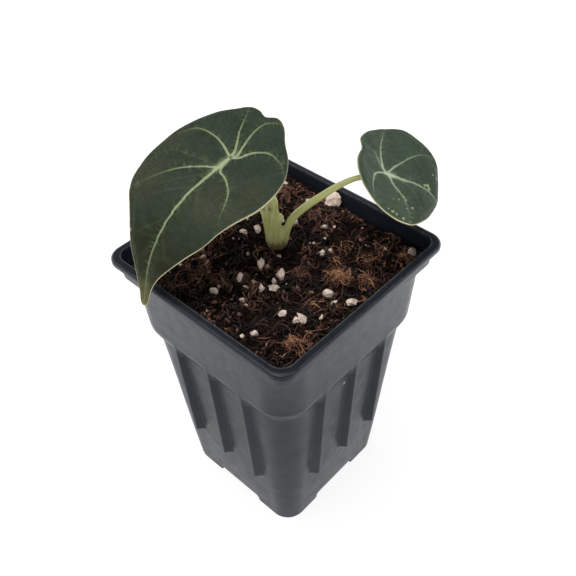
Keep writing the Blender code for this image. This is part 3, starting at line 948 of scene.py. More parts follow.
@dataclass
class NurseryPot:
    """Square tapered pot with a rim, a skirt, a collar and three raised ribs on each wall."""

    finish: PotPlastic
    rim_half: float = 44.5
    rim_top: float = 125.5
    rim_flange: float = 2.7
    rim_corner: float = 6.3
    skirt_half: float = 41.9
    skirt_foot: float = 116.1
    skirt_corner: float = 5.2
    ledge: float = 115.5
    collar_top_half: float = 40.8
    collar_foot_half: float = 39.6
    collar_foot: float = 91.0
    collar_corner: float = 12.0
    body_top_half: float = 37.3
    body_top: float = 85.4
    body_foot_half: float = 30.6
    foot_corner: float = 8.5
    wall: float = 1.0
    foot_height: float = 1.0
    foot_inner: float = 12.0
    foot_half: float = 30.4
    bottom_round: float = 4.0
    bulge: float = 0.7
    bulge_height: float = 29.5
    rib_pitch: float = 17.6
    rib_half: float = 3.0
    rib_crest: float = 0.45
    rib_top_rise: float = 2.3
    rib_foot_rise: float = 3.2
    rib_foot: float = 34.5
    rib_nose: float = 3.0
    rib_inside: float = 0.6
    tuck_half: float = 10.4
    tuck_end: float = 12.9
    corner_steps: int = 14
    rib_points: tuple = (0.0, 0.3, 0.45, 0.6, 0.8, 1.1, 1.6, 2.0, 2.3, 2.5, 2.7, 2.85, 3.0, 3.3)
    gap_points: tuple = (5.5, 7.5, 9.5, 10.4, 10.9, 11.3, 11.7, 12.1, 12.5, 12.9, 13.5)
    corner_points: tuple = (0.25, 0.5, 0.75)
    side_drain: tuple = (19.0, 4.0)
    middle_drain: tuple = (8.5, 3.0)
    sharp_angle: float = 32.0

    def body_half(self, z: float) -> float:
        """Return half the width of the tapered body at a height."""
        return blend(self.body_foot_half, self.body_top_half, z / self.body_top)

    def body_level(self, z: float, tuck: float = 0.0, turn: float = 0.0) -> Level:
        """Return the body's section at a height, with its ribs and the bow of its walls.

        Args:
            z: The height.
            tuck: How far the wall's middle is drawn in.
            turn: Reach of the soft turn in its profile.

        Returns:
            The section.
        """
        fall = 1.0 - ease((z - self.bulge_height) / (self.body_top - self.bulge_height))
        bow = self.bulge * ease(z / self.bulge_height) * fall
        up = (z - self.rib_foot) / (self.body_top - self.rib_foot)
        nose = min(max((z - self.rib_foot + self.rib_nose) / self.rib_nose, 0.0), 1.0)
        rib = blend(self.rib_foot_rise, self.rib_top_rise, up) * 0.5 * (nose + ease(nose))
        corner = blend(self.foot_corner, self.collar_corner, ease(z / self.body_top))
        return Level(z, self.body_half(z), corner, rib, tuck, bow, turn)

    def stations(self, flat: float) -> Array:
        """Return the distances along one wall at which its section has a point.

        Args:
            flat: Half the length of the wall's flat.

        Returns:
            Sorted distances from the wall's middle.
        """
        steps = np.array(self.rib_points)
        rib = np.concatenate([-steps[:0:-1], steps])
        last = self.rib_pitch + steps[-1]
        gap, outer = np.array(self.gap_points), last + (flat - last) * np.array(self.corner_points)
        ribs = [centre + rib for centre in (-self.rib_pitch, 0.0, self.rib_pitch)]
        return np.sort(np.concatenate([*ribs, gap, -gap, outer, -outer]))

    def rib_shape(self, x: Array) -> Array:
        """Return how far a rib stands out at a distance along the wall, from 0 to 1.

        Args:
            x: Distances along the wall from its middle.

        Returns:
            Shares of the rib's full rise, with a hollow toe and a tighter round brow.
        """
        toe, brow = 0.32, 0.16
        away = np.min([np.abs(x - centre) for centre in (-self.rib_pitch, 0.0, self.rib_pitch)], axis=0)
        share = np.clip((self.rib_half - away) / (self.rib_half - self.rib_crest), 0.0, 1.0)
        rise = np.where(share < toe, share**2 / (2.0 * toe), share - toe / 2.0)
        rise = rise - np.maximum(share - 1.0 + brow, 0.0) ** 2 / (2.0 * brow)
        return rise / (1.0 - toe / 2.0 - brow / 2.0)

    def section(self, row: Array, inset: float = 0.0) -> Array:
        """Draw the closed outline of the wall.

        Args:
            row: The six shape numbers of a level.
            inset: How far the outline is drawn in.

        Returns:
            Rows of points, clockwise from above.
        """
        z, half, corner, rib, tuck, bulge = row
        rib = rib * self.rib_inside if inset else rib
        half = half - inset
        corner = max(corner - inset, 1.0)
        flat = half - corner

        def bow(x: Array) -> Array:
            """Return how far the wall bows out at distances along it."""
            return bulge * np.cos(0.5 * math.pi * np.clip(x / half, -1.0, 1.0)) ** 2

        x = self.stations(flat)
        under = 1.0 - ease((np.abs(x) - self.tuck_half) / (self.tuck_end - self.tuck_half))
        y = half + bow(x) + rib * self.rib_shape(x) - tuck * under
        angle = math.pi / 2.0 * (1.0 - np.arange(self.corner_steps + 1) / self.corner_steps)
        cx, cy = flat + corner * np.cos(angle), flat + corner * np.sin(angle)
        x, y = np.concatenate([x, cx + bow(cy)]), np.concatenate([y, cy + bow(cx)])
        level = np.full_like(x, z)
        return np.vstack([np.stack([x * c + y * s, y * c - x * s, level], 1) for c, s in quarter_turns()])

    def rounded(self, levels: list[Level]) -> list[Array]:
        """Turn the wall's profile softly where a level asks for it.

        Args:
            levels: The levels from the floor's underside to the inside of the floor.

        Returns:
            The shape numbers of all levels, with five in place of each soft turn.
        """
        rows = [level.row() for level in levels]
        fine = [rows[0]]
        for k in range(1, len(rows) - 1):
            here, reach = rows[k], levels[k].turn
            if reach == 0.0:
                fine.append(here)
                continue
            ends = []
            for other in (rows[k - 1], rows[k + 1]):
                length = math.dist(here[:2], other[:2])
                ends.append(here + (other - here) * min(reach / length, 0.5))
            for step in range(5):
                u = step / 4.0
                fine.append((1 - u) ** 2 * ends[0] + 2 * u * (1 - u) * here + u * u * ends[1])
        fine.append(rows[-1])
        return fine

    def outer_levels(self) -> list[Level]:
        """Return the levels of the outside, from the floor's underside to the rim's inner edge.

        Returns:
            The levels in that order.
        """
        levels = []
        for angle in np.linspace(0.0, math.pi / 2.0, 8):
            z = self.foot_height + self.bottom_round * (1.0 - math.cos(angle))
            levels.append(self.body_level(z, self.bottom_round * (1.0 - math.sin(angle))))
        start = self.rib_foot - self.rib_nose
        heights = list(np.arange(8.0, start - 1.0, 3.2))
        heights += list(np.linspace(start - 0.2, self.rib_foot + 0.4, 13))
        heights += list(np.arange(38.0, self.body_top - 2.0, 3.6))
        levels += [self.body_level(float(z)) for z in heights]
        top, under = self.rim_top, self.rim_top - self.rim_flange
        levels += [
            self.body_level(self.body_top, turn=0.5),
            Level(self.collar_foot, self.collar_foot_half, self.collar_corner, turn=1.8),
            Level(self.skirt_foot, self.collar_top_half, self.collar_corner, turn=0.25),
            Level(self.skirt_foot, self.skirt_half, self.skirt_corner, turn=0.55),
            Level(under, self.skirt_half, self.skirt_corner, turn=0.3),
            Level(under, self.rim_half, self.rim_corner, turn=0.45),
            Level(top, self.rim_half, self.rim_corner, turn=1.5),
            Level(top, self.skirt_half - 0.4, self.skirt_corner, turn=1.0),
        ]
        return levels

    def inner_levels(self, depth: float) -> list[Level]:
        """Return the levels of the inside, from the skirt down to the floor, not yet drawn in.

        Args:
            depth: Height of the floor's upper face.

        Returns:
            The levels in that order.
        """
        heights = (self.body_top + 0.4, 60.0, self.rib_foot + 1.0, self.rib_foot - self.rib_nose, 15.0,
                   self.foot_height + self.bottom_round)
        return [
            Level(self.ledge + 2.0, self.skirt_half, self.skirt_corner),
            Level(self.ledge, self.collar_top_half, self.collar_corner),
            Level(self.collar_foot + 0.4, self.collar_foot_half, self.collar_corner),
            *(self.body_level(z) for z in heights),
            self.body_level(depth, tuck=self.bottom_round * 0.55),
        ]

    def feet(self) -> Piece:
        """Build the four rounded corner feet as one tool.

        Returns:
            The four feet in one piece.
        """
        bodies = []
        for c, s in quarter_turns():
            loops = []
            for z, edge in ((0.0, 0.5), (0.15, 0.2), (0.5, 0.0), (self.foot_height + 0.5, 0.0)):
                half, inner = self.foot_half - edge, self.foot_inner + edge
                angle = np.linspace(0.0, math.pi / 2.0, 17)
                arc = half - self.foot_corner + self.foot_corner * np.stack([np.cos(angle), np.sin(angle)], 1)
                x, y = np.vstack([[(inner, inner), (half, inner)], arc, [(inner, half)]]).T
                loops.append(np.stack([x * c - y * s, x * s + y * c, np.full_like(x, z)], 1))
            bodies.append(skin(loops))
        return make_object("feet", *join(bodies), [], tidy=True)

    def drains(self) -> Piece:
        """Build the cutters of the eight drainage holes as one tool.

        Returns:
            The eight cutters in one piece.
        """
        bodies = []
        angle = np.linspace(0.0, math.tau, 40, endpoint=False)
        (side, side_radius), (middle, middle_radius) = self.side_drain, self.middle_drain
        for c, s in quarter_turns():
            for x, y, radius in ((side * c, side * s, side_radius),
                                 (middle * (c - s), middle * (c + s), middle_radius)):
                outline = np.stack([x + radius * np.cos(angle), y + radius * np.sin(angle)], 1)
                bodies.append(skin([np.column_stack([outline, np.full(len(angle), z)])
                                    for z in (0.4, self.foot_height + self.wall + 0.6)]))
        return make_object("drains", *join(bodies), [], tidy=True)

    def build(self) -> None:
        """Build and dress the pot."""
        loops = [self.section(row) for row in self.rounded(self.outer_levels())]
        inner = self.inner_levels(self.foot_height + self.wall)
        loops += [self.section(level.row(), self.wall) for level in inner]
        points, faces = skin(loops)
        pot = make_object("nursery_pot", points, faces, [self.finish.make()], tidy=True)
        apply_boolean(pot, "UNION", self.feet())
        apply_boolean(pot, "DIFFERENCE", self.drains())
        pot.data.shade_smooth()
        pot.data.set_sharp_from_angle(angle=math.radians(self.sharp_angle))
        settle(pot, Slot.POT, "pot")


# Potting mix


@dataclass(frozen=True)
class Litter:
    """One kind of grain strewn over the potting mix: how many, how large, how high and how light."""

    name: str
    kind: Lump
    finish: LooseBits
    count: int
    margin: float
    least: float
    more: float
    lift: tuple
    shape: tuple
    spread: tuple
    light: float


@dataclass(frozen=True)
class Fibre:
    """One kind of curled fibre: its number, half-widths, lengths, share in tufts and tones."""

    name: str
    count: int
    width: tuple
    length: tuple
    gathered: float
    tones: tuple


PEAT = LooseBits("peat_crumb", ((0.005, 0.004, 0.004), (0.018, 0.01, 0.008), (0.078, 0.037, 0.027),
                                (0.3, 0.16, 0.12)))
BARK = LooseBits("bark_chip", ((0.006, 0.005, 0.005), (0.024, 0.013, 0.01), (0.105, 0.05, 0.036),
                               (0.36, 0.195, 0.14)), grain=0.25, roughness=0.75, gloss=0.18)


@dataclass
class PottingMix:
    """Soil that fills the pot, strewn with crumbs, bark, coir fibres and perlite."""

    pot: NurseryPot
    level: float = 118.4
    tilt: tuple = (-0.0406, 0.0219)
    warp: float = -0.0007
    relief_layers: tuple = ((0.9, 7.0, 0.0), (0.9, 3.0, 0.0), (0.65, 1.4, 5.0), (0.22, 0.6, 9.0))
    hollow_depth: float = 3.4
    tuft_rise: float = 0.6
    highest: float = 121.5
    edge_start: float = 36.5
    edge_fall: float = 0.5
    sink: float = 0.6
    reach: float = 39.6
    wall_reach: float = 40.3
    stem_centre: tuple = (-5.0, 5.5)
    stem_turn: float = 43.9
    stem_long: float = 4.9
    stem_short: float = 3.0
    stem_level: float = 118.7
    hole_floor: float = 96.0
    around: int = 440
    rings: int = 104
    seed: int = 21
    fines: int = 36
    litter: tuple = (
        Litter("peat_crumbs", Lump.CRUMB, PEAT, 2350, 0.0, 0.34, 0.62, (-0.2, 0.7), (1.5, 0.85, 0.7),
               (0.65, 1.25), 0.4),
        Litter("bark_chips", Lump.CHIP, BARK, 840, 0.6, 0.5, 0.8, (0.1, 0.9), (1.45, 0.5, 0.24),
               (0.7, 1.25), 0.36),
    )
    fibre_kinds: tuple = (
        Fibre("coir_fibres", 760, (0.12, 0.24), (3.0, 10.0), 0.42,
              ((0.007, 0.005, 0.005), (0.03, 0.015, 0.011), (0.15, 0.07, 0.045), (0.48, 0.22, 0.115))),
        Fibre("coir_hairs", 520, (0.06, 0.11), (3.0, 8.0), 0.75,
              ((0.012, 0.007, 0.006), (0.05, 0.026, 0.018), (0.19, 0.095, 0.065), (0.58, 0.29, 0.15))),
        Fibre("bark_strands", 620, (0.2, 0.42), (2.5, 8.0), 0.05,
              ((0.006, 0.005, 0.005), (0.02, 0.011, 0.009), (0.07, 0.033, 0.025), (0.22, 0.11, 0.085))),
    )
    hollows: tuple = (
        (12, -27, 2.6), (13, 8, 2.4), (11, 31, 2.6), (4, 4, 1.8), (34, 26, 2.4), (28, -33, 2.0),
        (40, -25, 2.0), (-19, -6, 2.4), (-11, 3, 1.8), (8, 21, 2.4), (19, -9, 2.4), (13, -15, 2.2),
        (2, -24, 2.0), (-28, 12, 2.6), (-30, -18, 2.4), (-18, 33, 2.6),
    )
    # Painted shade: zones with fewer light grains in the soil's dark hollows; the two negative amounts give
    # paler patches.
    dim: tuple = (
        (10.4, 5.0, 3.6, 0.8), (12.8, 10.7, 3.0, 0.7), (15.8, -26.8, 3.2, 0.8), (11.7, -28.0, 3.0, 0.8),
        (-1.8, 13.7, 2.8, 0.8), (0.5, 4.4, 2.8, 0.8), (20.8, -10.4, 2.4, 0.6), (16.7, -22.3, 3.2, 0.7),
        (1.2, 17.1, 2.6, 0.8), (4.1, -1.2, 2.4, 0.5), (10.0, 24.0, 3.4, 0.7), (29.0, 17.0, 2.8, 0.7),
        (27.0, -14.5, 3.0, 0.6), (25.0, -8.0, 4.5, 0.6), (18.0, -14.0, 3.5, 0.5), (6.0, -26.0, 3.5, 0.45),
        (8.0, -36.0, 4.0, 0.6), (22.0, -36.0, 4.0, 0.55), (34.0, -34.0, 3.0, 0.5),
        (29.0, 36.0, 7.0, -0.35), (-17.0, -24.0, 9.0, -0.25),
    )
    tufts: tuple = (
        (23, 9, 3.2, 0.8), (20.5, 7.5, 2.6, 0.8), (25.5, 10.5, 2.6, 0.8), (31.5, -25.5, 1.3, 0.95),
        (31, 14, 3.2, 0.7), (25, 41, 2.6, 0.5), (31, -25, 2.4, 0.7), (-24, -1, 3.0, 0.5),
        (-17, -25, 3.0, 0.5), (-25, -9, 3.0, 0.5), (-12, 23, 3.4, 0.5), (-23, 30, 3.4, 0.5),
        (-6, 27, 2.8, 0.6), (31, -3, 2.6, 0.6), (25, -8, 2.4, 0.6), (11, 1, 2.6, 0.6), (15, 22, 3.2, 0.6),
        (4, -16, 2.4, 0.5), (-2, -16, 2.2, 0.5), (17, -27, 2.6, 0.15), (-7, -22, 2.6, 0.5),
        (-16, -34, 3.0, 0.45), (23, -24, 2.6, 0.2), (25, 23, 3.4, 0.78), (25, 30, 3.2, 0.78),
        (17, 14, 3.0, 0.6), (34, 34, 3.0, 0.72),
    )
    perlite: tuple = (
        (-19.3, 2.3, 3.5, 2.1), (-16.6, 6.5, 2.7, 3.3), (-10.2, -5.0, 1.3, 1.5), (-0.4, 1.5, 1.7, 1.7),
        (-2.6, -5.9, 2.6, 4.4), (0.0, -4.8, 2.2, 1.8), (-3.2, -16.2, 2.5, 3.8), (1.3, -18.1, 2.7, 2.1),
        (2.4, -14.5, 1.8, 2.5), (6.3, -14.9, 2.3, 3.2), (9.5, -11.5, 5.0, 2.9), (6.6, -5.2, 2.9, 4.4),
        (6.7, -8.4, 1.8, 2.2), (-6.1, -26.5, 3.6, 3.0), (-6.0, -23.7, 1.1, 1.4), (4.7, -23.1, 1.8, 2.1),
        (7.5, -23.8, 1.8, 1.4), (-1.2, -34.4, 1.0, 1.2), (19.9, -18.4, 2.6, 2.2), (25.6, -17.8, 2.2, 2.2),
        (26.9, -15.8, 2.1, 4.5), (31.1, -11.1, 1.5, 1.9), (25.2, -0.8, 3.4, 3.5), (29.5, -2.2, 2.8, 1.2),
        (33.8, 2.7, 4.2, 2.8), (9.7, 13.6, 3.0, 2.1), (11.3, 17.4, 1.9, 1.7), (4.1, 16.0, 0.9, 0.9),
        (3.1, 14.9, 0.9, 0.9), (34.4, 36.8, 3.0, 3.4), (1.0, 25.8, 3.1, 1.9), (4.0, 28.2, 1.0, 1.0),
        (5.6, 20.9, 0.8, 0.8), (26.4, 31.2, 1.1, 1.1), (-5.4, 38.2, 6.4, 5.4), (-8.7, 19.6, 2.5, 2.7),
        (-23.9, 8.7, 1.2, 1.2), (-13.0, 17.4, 1.6, 1.6), (18.9, -31.5, 2.4, 2.4), (16.7, -34.9, 1.7, 1.3),
        (24.9, -31.4, 1.0, 1.0), (-24.5, -25.7, 1.5, 1.3), (-31.0, 18.0, 3.0, 2.6), (-27.0, 34.0, 2.4, 2.0),
        (-33.0, -8.0, 2.8, 2.2), (-22.0, -17.0, 2.2, 1.8), (-13.0, 32.0, 2.0, 2.2), (-36.0, 27.0, 2.2, 1.6),
    )
    greyer: tuple = (3, 5, 8)

    def __post_init__(self) -> None:
        """Seed the relief and the scatter."""
        self.relief = Undulation(self.seed)
        self.draw = np.random.default_rng(self.seed)

    def plain(self, x: Array, y: Array) -> Array:
        """Return the height of the soil without its relief."""
        return self.level + self.tilt[0] * x + self.tilt[1] * y + self.warp * x * y

    def height(self, x: Array, y: Array) -> Array:
        """Return the height of the soil's surface at points.

        Args:
            x: Distances along X.
            y: Distances along Y.

        Returns:
            The height at each point.
        """
        flat = np.stack([x, y, np.zeros_like(x)], 1)
        z = self.plain(x, y)
        for rise, size, shift in self.relief_layers:
            z = z + rise * self.relief.at(flat + shift, size)
        for hollow in self.hollows:
            z = z - self.hollow_depth * mound(x, y, *hollow)
        for tuft in self.tufts:
            z = z + self.tuft_rise * mound(x, y, *tuft[:3])
        rim = np.maximum(np.abs(x), np.abs(y))
        return np.minimum(z, self.highest) - self.edge_fall * ease((rim - self.edge_start) / 4.0)

    def stem_ellipse(self, angle: Array, grow: float) -> Array:
        """Return the outline of the plant's foot at angles, grown by a distance.

        Args:
            angle: Angles round the foot.
            grow: How far it is grown.

        Returns:
            Rows of x and y.
        """
        turn = math.radians(self.stem_turn)
        a = (self.stem_long + grow) * np.cos(angle)
        b = (self.stem_short + grow) * np.sin(angle)
        x = self.stem_centre[0] + a * math.cos(turn) - b * math.sin(turn)
        y = self.stem_centre[1] + a * math.sin(turn) + b * math.cos(turn)
        return np.stack([x, y], 1)

    def square(self, half: float, corner: float, z: float) -> Array:
        """Return evenly spaced points round a square with rounded corners.

        Args:
            half: Half its width.
            corner: Radius of its corners.
            z: Its height.

        Returns:
            Rows of points.
        """
        angle = np.linspace(0.0, math.pi / 2.0, 12)
        x, y = half - corner + corner * np.stack([np.cos(angle), np.sin(angle)])
        loop = np.vstack([np.stack([x * c - y * s, x * s + y * c], 1) for c, s in quarter_turns()])
        closed = np.vstack([loop, loop[:1]])
        walk = walked(closed)
        want = np.linspace(0.0, walk[-1], self.around, endpoint=False)
        return np.column_stack([*(np.interp(want, walk, way) for way in closed.T), np.full(self.around, z)])

    def bed(self) -> None:
        """Build the body of soil with its rough surface."""
        pot, inset = self.pot, self.pot.wall + 0.3
        loops = []
        for z in (pot.foot_height + inset, 15.0, 56.0, pot.body_top + 0.4):
            level = pot.body_level(z)
            loops.append(self.square(level.half - inset - 0.2, level.corner - inset, z))
        loops.append(self.square(pot.collar_foot_half - inset, 10.7, pot.collar_foot + 0.4))
        ledge = self.square(pot.collar_top_half - inset, 10.7, pot.ledge)
        wide = self.square(pot.skirt_half - inset, 3.9, pot.ledge + 2.0)
        loops.append(ledge)
        rise = self.plain(wide[:, 0], wide[:, 1]) - self.sink
        share = np.clip((rise - pot.ledge) / 2.0, 0.0, 1.0)[:, None]
        edge = ledge * (1.0 - share) + wide * share
        edge[:, 2] = rise
        loops.append(edge)
        angle = np.arctan2(edge[:, 1], edge[:, 0]) - math.radians(self.stem_turn)
        hole = self.stem_ellipse(angle, -1.9)
        for ring in range(1, self.rings + 1):
            share = (ring / self.rings) ** 0.93
            x, y = (blend(edge[:, k], hole[:, k], share) for k in (0, 1))
            z = self.height(x, y)
            foot = self.stem_level + 0.25 * self.relief.at(np.stack([x, y, z], 1), 1.2)
            z = blend(z, foot, ease((share - 0.93) / 0.07))
            z = blend(edge[:, 2], z, ease(ring / 5.0))
            loops.append(np.stack([x, y, z], 1))
        for grow, z in ((-1.4, 118.1), (0.0, 117.4), (0.0, self.hole_floor)):
            spot = self.stem_ellipse(angle, grow)
            loops.append(np.column_stack([spot, np.full(self.around, z)]))
        points, faces = skin(loops)
        bed = make_object("soil_bed", points, faces, [MixBed().make()], None, tidy=True)
        settle(bed, Slot.MIX, "soil")

    def scatter(self, count: int, margin: float = 0.0) -> Array:
        """Draw places on the soil.

        Args:
            count: Number of places.
            margin: How far they stay from the wall, beyond the usual reach.

        Returns:
            Rows of x and y, clear of the plant's foot and inside the pot's corners.
        """
        places = np.empty((0, 2))
        reach, corner = self.reach - margin, 5.0
        turn = math.radians(self.stem_turn)
        while len(places) < count:
            spots = self.draw.uniform(-reach, reach, (count, 2))
            deep = np.abs(spots) - (reach - corner)
            in_corner = np.all(deep > 0.0, axis=1) & (np.hypot(*np.maximum(deep, 0.0).T) > corner)
            away = spots - np.array(self.stem_centre)
            a = away @ np.array([math.cos(turn), math.sin(turn)]) / (self.stem_long - 2.0)
            b = away @ np.array([-math.sin(turn), math.cos(turn)]) / (self.stem_short - 1.3)
            places = np.vstack([places, spots[~in_corner & (np.hypot(a, b) > 1.0)]])
        return places[:count]

    def turns(self, count: int) -> Array:
        """Return seeded rotations, one matrix for each piece.

        Args:
            count: Number of pieces.

        Returns:
            The matrices.
        """
        w, x, y, z = unit(self.draw.normal(size=(count, 4))).T
        return np.stack([
            np.stack([1 - 2 * (y * y + z * z), 2 * (x * y - z * w), 2 * (x * z + y * w)], -1),
            np.stack([2 * (x * y + z * w), 1 - 2 * (x * x + z * z), 2 * (y * z - x * w)], -1),
            np.stack([2 * (x * z - y * w), 2 * (y * z + x * w), 1 - 2 * (x * x + y * y)], -1),
        ], 1)

    def facing(self, count: int) -> Array:
        """Return slight seeded turns from the soil's long diagonal, one matrix for each piece.

        Args:
            count: Number of pieces.

        Returns:
            The matrices.
        """
        turn = math.radians(self.stem_turn) + self.draw.normal(0.0, 0.25, count)
        lean = self.draw.normal(0.0, 0.3, count)
        c, s, cl, sl = np.cos(turn), np.sin(turn), np.cos(lean), np.sin(lean)
        zero = np.zeros(count)
        return np.stack([np.stack([c * cl, -s, -c * sl], -1), np.stack([s * cl, c, -s * sl], -1),
                         np.stack([sl, zero, cl], -1)], 1)

    def broken(self, base: Array, count: int) -> Array:
        """Break the unit ball along seeded flat faces.

        Args:
            base: Points of the unit ball.
            count: Number of grains.

        Returns:
            The points of every grain, one set for each.
        """
        shaped, flats = np.repeat(base[None], count, axis=0), 9
        for _ in range(flats):
            way = unit(self.draw.normal(size=(count, 1, 3)))
            depth = self.draw.uniform(0.52, 0.92, (count, 1))
            over = np.maximum((shaped * way).sum(2) - depth, 0.0)
            shaped = shaped - 0.9 * over[..., None] * way
        return shaped / np.abs(shaped).max(1, keepdims=True)

    def lumps(self, name: str, kind: Lump, centres: Array, sizes: Array,
              tints: Array, material: Material) -> None:
        """Build many loose grains as one piece.

        Args:
            name: Name of the piece.
            kind: What the grains are.
            centres: Rows of their centres.
            sizes: Their half-lengths along three axes, one row each.
            tints: Their tones from 0 to 1.
            material: Their material.
        """
        base, base_faces = ball(4 if kind is Lump.PERLITE else 2)
        count, each = len(centres), len(base)
        offsets = self.draw.uniform(0.0, 300.0, (count, 1, 3))
        seeds = (base[None] + offsets).reshape(-1, 3)
        turns = self.turns(count)
        if kind is Lump.PERLITE:
            swell = 0.22 * self.relief.at(seeds, 0.8) + 0.1 * self.relief.at(seeds, 0.35)
            swell = 1.0 + swell - 0.1 * np.abs(self.relief.at(seeds, 0.18))
        elif kind is Lump.CRUMB:
            swell = 1.0 + 0.45 * self.relief.at(seeds, 0.7)
        else:
            swell = 1.0 + 0.35 * self.relief.at(seeds, 0.9)
        shaped = base[None] if kind is Lump.CHIP else self.broken(base, count)
        shaped = shaped * swell.reshape(count, each, 1)
        if kind is Lump.CHIP:
            shaped = np.sign(shaped) * np.abs(shaped) ** 0.62
        if kind is Lump.PERLITE:
            turns = self.facing(count)
        shaped = shaped * sizes[:, None, :]
        shaped = np.einsum("nij,nkj->nki", turns, shaped) + centres[:, None, :]
        shaped[..., :2] = np.clip(shaped[..., :2], -self.wall_reach, self.wall_reach)
        piece = make_object(name, shaped.reshape(-1, 3), repeated(base_faces, count, each), [material], 28.0)
        paint(piece, "tint", np.repeat(tints, each))
        settle(piece, Slot.MIX)

    def strew(self, litter: Litter) -> None:
        """Strew one kind of grain over the soil.

        Args:
            litter: What is strewn, and how.
        """
        count = litter.count
        spots = self.scatter(count, litter.margin)
        size = litter.least + litter.more * self.draw.random(count) ** 2
        lift = self.draw.uniform(*litter.lift, count)
        if litter.kind is Lump.CRUMB:
            lift = lift * size
        centres = np.column_stack([spots, self.height(*spots.T) + lift])
        sizes = size[:, None] * np.array(litter.shape) * self.draw.uniform(*litter.spread, (count, 3))
        tints = self.shades(spots, litter.light)
        self.lumps(litter.name, litter.kind, centres, sizes, tints, litter.finish.make())

    def shades(self, spots: Array, light: float) -> Array:
        """Draw tones that are mostly dark or mostly light, in patches.

        Args:
            spots: Rows of x and y.
            light: Share of light pieces.

        Returns:
            One tone from 0 to 1 for each place.
        """
        flat = np.column_stack([spots, np.zeros(len(spots))])
        patch = 0.55 * self.relief.at(flat + 31.0, 8.0) + 0.35 * self.relief.at(flat + 17.0, 3.0)
        # Dim zones take light grains away, painting shade into the hollows; negative amounts add them.
        for *spot, amount in self.dim:
            patch = patch - amount * mound(*spots.T, *spot)
        is_light = self.draw.random(len(spots)) < light + patch
        pale = self.draw.uniform(0.55, 1.0, len(spots))
        return np.where(is_light, pale, self.draw.uniform(0.0, 0.35, len(spots)))

    def fibres(self, kind: Fibre) -> None:
        """Strew curled fibres of one kind.

        Args:
            kind: What the fibres are.
        """
        draw, knots, sides, count = self.draw, 13, 4, kind.count
        spots = self.scatter(count, 0.5)
        tints = 0.8 * self.shades(spots, 0.42)
        bunch = int(count * kind.gathered)
        pick = draw.integers(0, len(self.tufts), bunch)
        tufts = np.array(self.tufts)
        spots[:bunch] = tufts[pick, :2] + draw.normal(0.0, 0.55, (bunch, 2)) * tufts[pick, 2:3]
        tints[:bunch] = np.clip(tufts[pick, 3] + draw.normal(0.0, 0.25, bunch), 0.0, 1.0)
        span = draw.uniform(*kind.length, count)
        heading = draw.uniform(0.0, math.tau, count)
        curl = draw.normal(0.0, 1.0, count) * 2.2
        wave = draw.normal(0.0, 0.55, (count, knots)).cumsum(axis=1)
        step = np.linspace(-0.5, 0.5, knots)
        angle = heading[:, None] + curl[:, None] * step[None] + 0.45 * wave
        pace = (span / (knots - 1))[:, None]
        x = np.cumsum(np.cos(angle) * pace, 1)
        y = np.cumsum(np.sin(angle) * pace, 1)
        x = np.clip(x - x.mean(1, keepdims=True) + spots[:, :1], -self.reach, self.reach)
        y = np.clip(y - y.mean(1, keepdims=True) + spots[:, 1:], -self.reach, self.reach)
        ground = self.height(x.ravel(), y.ravel()).reshape(count, knots)
        ground = 0.5 * ground + 0.5 * ground.mean(1, keepdims=True)
        arch = draw.uniform(0.0, 1.4, (count, 1)) * np.cos(math.pi * step)[None]
        lean = draw.normal(0.0, 0.9, (count, 1)) * step[None]
        z = ground + draw.uniform(0.15, 0.9, (count, 1)) + arch + lean
        line = np.stack([x, y, z], -1)
        ahead = np.gradient(line, axis=1)
        ahead /= np.linalg.norm(ahead, axis=-1, keepdims=True) + 1e-9
        up = np.array([0.05, 0.03, 1.0])
        wide = np.cross(ahead, up)
        wide /= np.linalg.norm(wide, axis=-1, keepdims=True) + 1e-9
        deep = np.cross(wide, ahead)
        taper = 0.35 + 0.65 * np.sin(math.pi * (step + 0.5)) ** 0.5
        half = draw.uniform(*kind.width, count)[:, None] * taper[None]
        rings = []
        for corner in range(sides):
            turn = math.tau * corner / sides
            rings.append(line + (wide * math.cos(turn) + deep * math.sin(turn) * 0.8) * half[..., None])
        points = np.stack(rings, 2).reshape(-1, 3)
        each = knots * sides
        one = loft_faces(knots, sides).tolist() + [[3, 2, 1, 0], [each - 4, each - 3, each - 2, each - 1]]
        material = LooseBits(f"{kind.name}_skin", kind.tones, grain=0.5, roughness=0.65, gloss=0.22).make()
        piece = make_object(kind.name, points, repeated(np.array(one), count, each), [material], None)
        paint(piece, "tint", np.repeat(tints, each))
        settle(piece, Slot.MIX)

    def grains(self) -> None:
        """Set the perlite grains, and strew the finest ones."""
        big = np.array(self.perlite)
        spots, wide, tall = big[:, :2], big[:, 2], big[:, 3]
        flat = np.column_stack([spots, np.zeros(len(spots))])
        rise, swell, _ = self.relief_layers[0]
        ground = self.plain(*spots.T) + rise * self.relief.at(flat, swell)
        centres = np.column_stack([spots, np.maximum(ground, self.height(*spots.T)) + 0.25 * tall + 0.2])
        sizes = 0.56 * np.column_stack([wide, tall, tall]) * self.draw.uniform(0.94, 1.06, (len(big), 3))
        tints = self.draw.uniform(0.0, 0.22, len(big))
        tints[list(self.greyer)] = 0.45
        material = PerliteGlass().make()
        self.lumps("perlite", Lump.PERLITE, centres, sizes, tints, material)
        spots = self.scatter(self.fines, 0.6)
        size = self.draw.uniform(0.45, 1.0, self.fines)
        centres = np.column_stack([spots, self.height(*spots.T) + 0.25 * size])
        sizes = 0.5 * size[:, None] * self.draw.uniform(0.6, 1.15, (self.fines, 3))
        tints = self.draw.uniform(0.0, 0.5, self.fines)
        self.lumps("perlite_fines", Lump.CHIP, centres, sizes, tints, material)

    def build(self) -> None:
        """Build and dress the whole potting mix."""
        self.bed()
        for litter in self.litter:
            self.strew(litter)
        for kind in self.fibre_kinds:
            self.fibres(kind)
        self.grains()


# Plant


